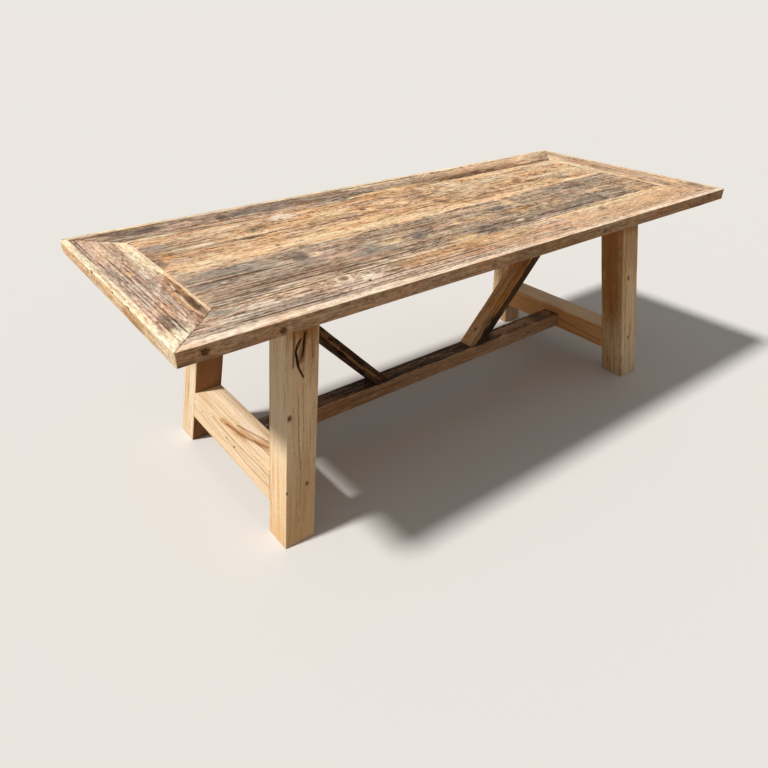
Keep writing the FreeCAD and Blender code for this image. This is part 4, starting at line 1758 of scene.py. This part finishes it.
LEFT_STRETCHER_MARKS = (
    Band(-0.120, 0.120, Tint.STRAW, 0.35),
    Stain(0.0, -0.085, 0.40, 0.016, Tint.MAPLE, 0.5),
    Streak(((0.06, 0.002), (-0.04, 0.018), (-0.14, 0.050), (-0.28, 0.090)), 0.018, Tint.AMBER, 0.75),
    Stain(-0.060, 0.052, 0.060, 0.014, Tint.CREAM, 0.9),
    Streak(((0.03, 0.004), (-0.08, 0.022), (-0.20, 0.062)), 0.005, Tint.RUST, 0.80),
    Streak(((0.00, 0.030), (-0.14, 0.066), (-0.25, 0.095)), 0.004, Tint.CHESTNUT, 0.7),
    Streak(((-0.04, 0.012), (-0.16, 0.040), (-0.29, 0.070)), 0.004, Tint.CHESTNUT, 0.6),
    Streak(((0.12, -0.018), (-0.06, -0.026), (-0.29, -0.020)), 0.004, Tint.AMBER, 0.75),
    Streak(((0.02, -0.046), (-0.14, -0.060), (-0.29, -0.056)), 0.003, Tint.AMBER, 0.7),
    Streak(((0.25, -0.030), (0.10, -0.050), (-0.06, -0.078)), 0.0025, Tint.AMBER, 0.6),
    Dent(0.017, -0.045, 0.0052, 0.0044, 0.0040),
    Dent(-0.040, -0.049, 0.0052, 0.0044, 0.0040),
    Dent(0.212, -0.046, 0.0040, 0.0036, 0.0030),
    Streak(((-0.292, -0.100), (-0.278, 0.0)), 0.0022, Tint.UMBER, 0.8),
)
RIGHT_STRETCHER_MARKS = (
    Band(-0.120, -0.001, Tint.APRICOT, 0.85),
    # partly painted light: the pale top band is lighter wood and also stands in for sunlight on part of the
    # top face
    Band(0.001, 0.099, Tint.STRAW, 0.90),
    Streak(((0.02, -0.040), (-0.12, -0.060), (-0.27, -0.072)), 0.005, Tint.CARAMEL, 0.6),
    Streak(((0.06, -0.080), (-0.10, -0.090), (-0.27, -0.094)), 0.004, Tint.CARAMEL, 0.6),
    # painted shade: darker round the joint with the centre stretcher, at the top's inner edge
    Stain(0.0, 0.0, 0.060, 0.030, Tint.CARAMEL, 0.4),
)
LEG_SPLIT = (
    (0.631, 0.041),
    (0.618, 0.029),
    (0.601, 0.027),
    (0.576, 0.030),
    (0.556, 0.035),
    (0.536, 0.045),
    (0.523, 0.051),
)
LEG_FORK = ((0.646, 0.054), (0.625, 0.050), (0.607, 0.051), (0.588, 0.048), (0.578, 0.044))
LEG_CHECK = ((0.50, 0.036), (0.42, 0.038), (0.34, 0.040), (0.225, 0.050), (0.12, 0.045), (0.06, 0.042))
LEG_MARKS: dict[str, tuple[Mark, ...]] = {
    "leg_front_left": (
        Stain(0.360, 0.050, 0.300, 0.065, Tint.MAPLE, 0.60, 0.8),
        # painted light: the upper left face, which the top shades, is made paler to stand in for the light
        # on it
        Stain(0.500, -0.050, 0.240, 0.052, Tint.STRAW, 0.90, 0.8),
        Stain(0.150, -0.050, 0.200, 0.052, Tint.MAPLE, 0.50, 0.8),
        Stain(0.020, -0.050, 0.060, 0.052, Tint.HONEY, 0.70, 0.8),
        Stain(0.710, 0.050, 0.085, 0.055, Tint.CARAMEL, 0.80, 1.0),
        Stain(0.630, 0.080, 0.120, 0.034, Tint.CARAMEL, 0.35),
        Stain(0.070, 0.050, 0.200, 0.060, Tint.HONEY, 0.75),
        Streak(((0.700, 0.016), (0.630, 0.020), (0.560, 0.018)), 0.004, Tint.RUST, 0.75),
        Streak(((0.720, 0.078), (0.640, 0.074), (0.570, 0.080)), 0.003, Tint.CHESTNUT, 0.6),
        Streak(((0.646, 0.054), (0.607, 0.047), (0.570, 0.042)), 0.010, Tint.RUST, 0.7),
        Streak(((0.631, 0.041), (0.601, 0.027), (0.556, 0.035), (0.523, 0.051)), 0.0034, Tint.SOOT, 0.95),
        Streak(((0.646, 0.054), (0.607, 0.051), (0.578, 0.044)), 0.003, Tint.SOOT, 0.8),
        Crack(LEG_SPLIT, 0.0028, 0.0045),
        Crack(LEG_FORK, 0.0020, 0.0030),
        Crack(LEG_CHECK, 0.0013, 0.0012),
        Knot(0.416, 0.009, 0.0060, Tint.RUST, Tint.UMBER),
        Knot(0.190, 0.070, 0.0045, Tint.RUST, Tint.UMBER),
        Knot(0.185, 0.003, 0.0035, Tint.RUST, Tint.UMBER),
    ),
    "leg_front_right": (
        Stain(0.550, -0.050, 0.360, 0.060, Tint.CARAMEL, 0.80, 0.8),
        # painted light: the left face is paler towards the foot, for light thrown up from the floor
        Stain(0.080, -0.050, 0.160, 0.055, Tint.MAPLE, 0.60),
        Stain(0.330, 0.050, 0.360, 0.055, Tint.MAPLE, 0.50),
        Stain(0.060, 0.050, 0.160, 0.055, Tint.STRAW, 0.60),
        Stain(0.700, 0.050, 0.060, 0.055, Tint.CARAMEL, 0.80),
        Stain(0.600, 0.060, 0.150, 0.055, Tint.CARAMEL, 0.35),
        Knot(0.449, 0.041, 0.0065, Tint.RUST, Tint.UMBER),
        Knot(0.179, 0.045, 0.0050, Tint.RUST, Tint.UMBER),
    ),
    # painted shade: chestnut darkens the front and right faces for the deep shade under the table; the left
    # face is paler
    "leg_back_left": (Band(0.000, 0.200, Tint.CHESTNUT, 0.75), Band(-0.100, 0.000, Tint.STRAW, 0.40)),
}


# ---------------------------------------------------------------- sub-assemblies
@dataclass
class TableTop:
    """Four mitred boards round two planks."""

    spare: float = 0.012
    seam: float = 0.0006
    plank_sink: float = 0.0005
    outer_edge: float = 0.0028
    inner_edge: float = 0.0018
    wander: float = 0.0025
    corner_radius: float = 0.010

    def build(self) -> None:
        """Makes the six boards."""
        rail = RAIL_WOOD.material()
        dark = DARK_RAIL_WOOD.material()
        self.long_board(Side.FRONT, rail, RAIL_WOOD.slot, FRONT_RAIL_MARKS, 1.0)
        self.long_board(Side.BACK, dark, DARK_RAIL_WOOD.slot, BACK_RAIL_MARKS, 2.0)
        self.end_board(End.LEFT, rail, LEFT_END_MARKS, 3.0)
        self.end_board(End.RIGHT, rail, RIGHT_END_MARKS, 4.0)
        self.plank(Side.FRONT, -FIELD_HALF_WIDTH, PLANK_JOINT, GREY_WOOD, FRONT_PLANK_MARKS, 5.0)
        self.plank(Side.BACK, PLANK_JOINT, FIELD_HALF_WIDTH, HONEY_WOOD, BACK_PLANK_MARKS, 6.0)

    def mitres(self, middle: Vector) -> tuple[Plane, ...]:
        """The mitre planes that bound a board of the rim.

        Args:
            middle: the board's middle, which lies inside both planes.

        Returns:
            A point and an outward normal for each plane.
        """
        planes = []
        for end in End:
            for side in Side:
                if middle.x * end < 0 or middle.y * side < 0:
                    continue
                corner = Vector((end * TOP_HALF_LENGTH, side * TOP_HALF_WIDTH, 0))
                normal = Vector((end, -side, 0)).normalized()
                if (middle - corner).dot(normal) > 0:
                    normal.negate()
                planes.append((corner - normal * self.seam, normal))
        return tuple(planes)

    def edges(self, where: Where) -> Pair:
        """The wear of a rim board's two long edges, the outer edge more than the inner one."""
        return (self.outer_edge, self.inner_edge) if where < 0 else (self.inner_edge, self.outer_edge)

    def long_board(
        self, side: Side, finish: bpy.types.Material, slot: str, marks: tuple[Mark, ...], seed: float
    ) -> None:
        """A mitred rail along a long side of the top.

        Args:
            side: which side it runs along.
            finish: its material.
            slot: the material's slot.
            marks: its marks.
            seed: picks its grain.
        """
        near, far = sorted((side * FIELD_HALF_WIDTH, side * TOP_HALF_WIDTH))
        reach = TOP_HALF_LENGTH + self.spare
        Timber(
            name=f"top_{side.label}_rail",
            low=(-reach, near, UNDERSIDE),
            high=(reach, far, TOP_HEIGHT),
            finish=finish,
            slot=slot,
            marks=marks,
            seed=seed,
            cuts=self.mitres(Vector((0, side * (FIELD_HALF_WIDTH + BOARD_WIDTH / 2), 0))),
            cell=(0.005, 0.0018, 0.005),
            edges=self.edges(side),
            wander=self.wander,
            corner_radius=self.corner_radius,
        ).build()

    def end_board(
        self, end: End, finish: bpy.types.Material, marks: tuple[Mark, ...], seed: float
    ) -> None:
        """A mitred board across an end of the top.

        Args:
            end: which end it lies at.
            finish: its material, in the slot of the rails.
            marks: its marks.
            seed: picks its grain.
        """
        near, far = sorted((end * FIELD_HALF_LENGTH, end * TOP_HALF_LENGTH))
        reach = TOP_HALF_WIDTH + self.spare
        Timber(
            name=f"top_{end.label}_end_board",
            low=(-reach, near, UNDERSIDE),
            high=(reach, far, TOP_HEIGHT),
            finish=finish,
            slot=RAIL_WOOD.slot,
            marks=marks,
            seed=seed,
            place=columns((0, 0, 0), (0, 1, 0), (1, 0, 0), (0, 0, 1)),
            cuts=self.mitres(Vector((end * (FIELD_HALF_LENGTH + BOARD_WIDTH / 2), 0, 0))),
            cell=(0.004, 0.0016, 0.005),
            edges=self.edges(end),
            wander=self.wander,
            corner_radius=self.corner_radius,
        ).build()

    def plank(
        self, side: Side, near: float, far: float, wood: Wood, marks: tuple[Mark, ...], seed: float
    ) -> None:
        """A plank of the field.

        Args:
            side: which side of the table it lies on.
            near: where it starts across the table.
            far: where it ends.
            wood: its finish.
            marks: its marks.
            seed: picks its grain.
        """
        Timber(
            name=f"top_{side.label}_plank",
            low=(-FIELD_HALF_LENGTH, near, UNDERSIDE),
            high=(FIELD_HALF_LENGTH, far, TOP_HEIGHT - self.plank_sink),
            finish=wood.material(),
            slot=wood.slot,
            marks=marks,
            seed=seed,
            cell=(0.006, 0.0023, 0.008),
            edges=(self.inner_edge, self.inner_edge),
        ).build()


@dataclass
class EndFrame:
    """Two splayed legs with a stretcher and a bearer between them."""

    end: End
    finish: bpy.types.Material
    bearer_finish: bpy.types.Material
    stretcher_marks: tuple[Mark, ...]
    edge: float = 0.0022
    dirt: float = 0.08
    ripple: float = 0.0002
    crosspiece_fineness: float = 2.4

    def build(self) -> None:
        """Makes the legs, the stretcher and the bearer."""
        for side in Side:
            self.leg(side)
        self.crosspiece("end_stretcher", self.finish, PINE_WOOD.slot, self.stretcher_marks)
        self.crosspiece("top_bearer", self.bearer_finish, BATTEN_WOOD.slot, ())

    def leg(self, side: Side) -> None:
        """A leg, worked upright and leant over into its place.

        Args:
            side: which side of the table it stands on.
        """
        foot_x = self.end * (LEG_TOP_X + UNDERSIDE * END_LEAN) - LEG_WIDTH / 2
        foot_y = side * (LEG_TOP_Y + UNDERSIDE * SIDE_LEAN) + LEG_WIDTH / 2
        lean = (-self.end * END_LEAN, -side * SIDE_LEAN, 1)
        name = f"leg_{side.label}_{self.end.label}"
        Timber(
            name=name,
            low=(0, 0, 0),
            high=(UNDERSIDE, LEG_WIDTH, LEG_WIDTH),
            finish=self.finish,
            slot=PINE_WOOD.slot,
            marks=LEG_MARKS.get(name, ()),
            seed=10.0 + 2 * self.end + side,
            place=columns((foot_x, foot_y, 0), lean, (1, 0, 0), (0, -1, 0)),
            cell=(0.005, 0.0022, 0.0025),
            edges=(self.edge, self.edge),
            ripple=self.ripple,
            dirt=self.dirt,
        ).build()

    def crosspiece(
        self, kind: str, finish: bpy.types.Material, slot: str, marks: tuple[Mark, ...]
    ) -> None:
        """A stretcher or bearer, leant with the legs and cut to their facing sides.

        Args:
            kind: end_stretcher or top_bearer, as in the piece's name.
            finish: its material.
            slot: the material's slot.
            marks: its marks.
        """
        name = f"{self.end.label}_{kind}"
        low, high = (corner.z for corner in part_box(name))
        start = self.end * (LEG_TOP_X + (UNDERSIDE - low) * END_LEAN) - LEG_WIDTH / 2
        reach = LEG_TOP_Y + (UNDERSIDE - low) * SIDE_LEAN
        facing = LEG_TOP_Y - LEG_WIDTH / 2
        cuts = tuple(
            (Vector((0, side * facing, UNDERSIDE)), Vector((0, side, SIDE_LEAN)).normalized())
            for side in Side
        )
        Timber(
            name=name,
            low=(-reach, 0, 0),
            high=(reach, LEG_WIDTH, high - low),
            finish=finish,
            slot=slot,
            marks=marks,
            seed=20.0 + self.end + low,
            place=columns((start, 0, low), (0, 1, 0), (1, 0, 0), (-self.end * END_LEAN, 0, 1)),
            cuts=cuts,
            cell=(0.004, 0.003, 0.0025),
            edges=(self.edge, self.edge),
            ripple=self.ripple,
            dirt=self.dirt,
            fineness=self.crosspiece_fineness,
        ).build()


@dataclass
class CentreFrame:
    """The long low stretcher and its two braces."""

    brace_depth: float = 0.048
    foot_spacing: float = 0.430
    head_drop: float = 0.058
    spare: float = 0.08
    edge: float = 0.003

    def build(self) -> None:
        """Makes the stretcher and the braces."""
        low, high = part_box("centre_stretcher")
        reach = LEG_TOP_X + UNDERSIDE * END_LEAN
        Timber(
            name="centre_stretcher",
            low=(-reach, low.y, low.z),
            high=(reach, high.y, high.z),
            finish=STRETCHER_WOOD.material(),
            slot=STRETCHER_WOOD.slot,
            marks=STRETCHER_MARKS,
            seed=31.0,
            cuts=tuple(self.inner_side(end) for end in End),
            cell=(0.006, 0.003, 0.003),
            edges=(self.edge, self.edge),
        ).build()
        self.brace(End.LEFT, high, DARK_BRACE_WOOD, LEFT_BRACE_MARKS, 33.0)
        self.brace(End.RIGHT, high, HONEY_BRACE_WOOD, RIGHT_BRACE_MARKS, 35.0)

    @staticmethod
    def inner_side(end: End) -> Plane:
        """The plane of an end frame's inner side."""
        point = Vector((end * (LEG_TOP_X - LEG_WIDTH / 2), 0, UNDERSIDE))
        return point, Vector((end, 0, END_LEAN)).normalized()

    def brace(self, end: End, seat: Vector, wood: Wood, marks: tuple[Mark, ...], seed: float) -> None:
        """A brace that leans outwards from the stretcher to a bearer.

        Args:
            end: which end it leans towards.
            seat: the stretcher's highest corner, which gives its top and half its width.
            wood: its finish.
            marks: its marks.
            seed: picks its grain.
        """
        foot_x = self.foot_spacing / 2
        head_z = UNDERSIDE - self.head_drop
        head_x = LEG_TOP_X + self.head_drop * END_LEAN - LEG_WIDTH / 2
        length = math.hypot(head_x - foot_x, head_z - seat.z)
        run, rise = (head_x - foot_x) / length, (head_z - seat.z) / length
        Timber(
            name=f"{end.label}_brace",
            low=(-self.spare, -seat.y, -self.brace_depth),
            high=(length + self.spare, seat.y, 0),
            finish=wood.material(),
            slot=wood.slot,
            marks=marks,
            seed=seed,
            place=columns((end * foot_x, 0, seat.z), (end * run, 0, rise), (0, 1, 0), (-end * rise, 0, run)),
            cuts=((Vector((0, 0, seat.z)), Vector((0, 0, -1))), self.inner_side(end)),
            cell=(0.005, 0.003, 0.003),
            edges=(self.edge, self.edge),
        ).build()


@dataclass
class Fixings:
    """The battens, screws and joints, which keep their solids."""

    cross_grain: tuple[str, ...] = ("left_batten", "middle_batten", "right_batten")
    hardwood: tuple[str, ...] = (
        "lengthwise_tongues",
        "end_tongues",
        "mitre_splines",
        "leg_dowels",
        "tenon_wedges",
        "brace_dowels",
    )
    steel: tuple[str, ...] = ("batten_screws",)

    def build(self) -> None:
        """Gives each solid its finish."""
        groups = (
            (self.cross_grain, BATTEN_WOOD.material((0, 0, math.pi / 2))),
            (self.hardwood, BEECH_WOOD.material((0, 0, 0))),
            (self.steel, Zinc().material()),
        )
        for names, finish in groups:
            for name in names:
                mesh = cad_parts[name].data
                mesh.materials.clear()
                mesh.materials.append(finish)
                log.info("%s: finished with %s", name, finish.name)


# ---------------------------------------------------------------- studio
@dataclass
class Studio:
    """Floor, key lamp, fill light with its backdrop, and camera."""

    floor_size: float = 160.0
    floor_drop: float = 0.0005
    floor_colour: str = "#e0dcd6"
    floor_bounce: str = "#a0978c"
    floor_roughness: float = 0.9
    floor_gloss: float = 0.1
    key_from: Triple = (-0.564, 0.177, 0.807)
    key_strength: float = 3.3
    key_spread: float = 7.0
    fill: float = 0.26
    backdrop: str = "#ebe7e1"
    eye: Triple = (-1.4821, -1.6410, 1.4059)
    heading: float = 37.65
    tilt: float = 31.41
    roll: float = 0.31
    lens: float = 29.69
    sensor: float = 36.0
    clip: Pair = (0.05, 300.0)

    def build(self) -> None:
        """Sets up the whole studio."""
        self.floor()
        self.key()
        self.sky()
        self.camera()

    @staticmethod
    def seen(tree: bpy.types.NodeTree) -> Socket:
        """Tells the rays that look at something from those that light the table.

        Args:
            tree: the nodes of the floor's material or of the world.

        Returns:
            1 for rays from the eye, a reflection or glass, and 0 for the others.
        """
        rays = tree.nodes.new("ShaderNodeLightPath")
        total = rays.outputs["Is Camera Ray"]
        for name in ("Is Glossy Ray", "Is Transmission Ray"):
            either = tree.nodes.new("ShaderNodeMath")
            either.operation = "MAXIMUM"
            tree.links.new(total, either.inputs[0])
            tree.links.new(rays.outputs[name], either.inputs[1])
            total = either.outputs[0]
        return total

    def floor(self) -> None:
        """A wide plain floor, pale to the eye, that throws back only a little light."""
        let_go()
        bpy.ops.mesh.primitive_plane_add(size=self.floor_size, location=(0, 0, -self.floor_drop))
        floor = bpy.context.active_object
        floor.name = "studio_floor"
        graph = Graph("studio_floor")
        pale = graph.cover(self.seen(graph.tree), paint(self.floor_bounce), paint(self.floor_colour))
        graph.feed(graph.shader.inputs["Base Color"], pale)
        graph.shader.inputs["Roughness"].default_value = self.floor_roughness
        graph.shader.inputs["Specular IOR Level"].default_value = self.floor_gloss
        floor.data.materials.append(graph.material)

    def key(self) -> None:
        """The soft key lamp, high on the left and a little behind."""
        data = bpy.data.lights.new("key", "SUN")
        data.energy = self.key_strength
        data.angle = math.radians(self.key_spread)
        lamp = bpy.data.objects.new("key", data)
        lamp.rotation_mode = "QUATERNION"
        lamp.rotation_quaternion = Vector(self.key_from).to_track_quat("Z", "Y")
        bpy.context.scene.collection.objects.link(lamp)

    def sky(self) -> None:
        """Even fill light, with a backdrop like the floor where the eye or a reflection sees it."""
        world = bpy.data.worlds.new("studio")
        bpy.context.scene.world = world
        world.use_nodes = True
        tree = world.node_tree
        tree.nodes.clear()
        output = tree.nodes.new("ShaderNodeOutputWorld")
        chooser = tree.nodes.new("ShaderNodeMixShader")
        tree.links.new(self.seen(tree), chooser.inputs[0])
        for socket, colour, strength in ((1, "#ffffff", self.fill), (2, self.backdrop, 1.0)):
            light = tree.nodes.new("ShaderNodeBackground")
            light.inputs["Color"].default_value = paint(colour)
            light.inputs["Strength"].default_value = strength
            tree.links.new(light.outputs[0], chooser.inputs[socket])
        tree.links.new(chooser.outputs[0], output.inputs["Surface"])

    def camera(self) -> None:
        """The camera, in front of the left end and turned down to the top."""
        yaw, pitch, roll = (math.radians(a) for a in (self.heading, self.tilt, self.roll))
        level = math.cos(pitch)
        ahead = Vector((math.sin(yaw) * level, math.cos(yaw) * level, -math.sin(pitch)))
        right = Vector((math.cos(yaw), -math.sin(yaw), 0))
        up = right.cross(ahead)
        right, up = (
            right * math.cos(roll) + up * math.sin(roll),
            up * math.cos(roll) - right * math.sin(roll),
        )
        data = bpy.data.cameras.new("camera")
        data.sensor_width = self.sensor
        data.lens = self.lens
        data.clip_start, data.clip_end = self.clip
        camera = bpy.data.objects.new("camera", data)
        turn = Matrix((right, up, -ahead)).transposed().to_4x4()
        camera.matrix_world = Matrix.Translation(self.eye) @ turn
        bpy.context.scene.collection.objects.link(camera)
        bpy.context.scene.camera = camera


def main() -> None:
    """Builds the table's sub-assemblies in order, then the studio."""
    logging.basicConfig(level=logging.INFO, format="%(name)s: %(message)s")
    TableTop().build()
    pine = PINE_WOOD.material()
    bearer = BATTEN_WOOD.material()
    EndFrame(End.LEFT, pine, bearer, LEFT_STRETCHER_MARKS).build()
    EndFrame(End.RIGHT, pine, bearer, RIGHT_STRETCHER_MARKS).build()
    CentreFrame().build()
    Fixings().build()
    Studio().build()
    bpy.context.scene.view_settings.view_transform = "Standard"


if __name__ == "__main__":
    main()
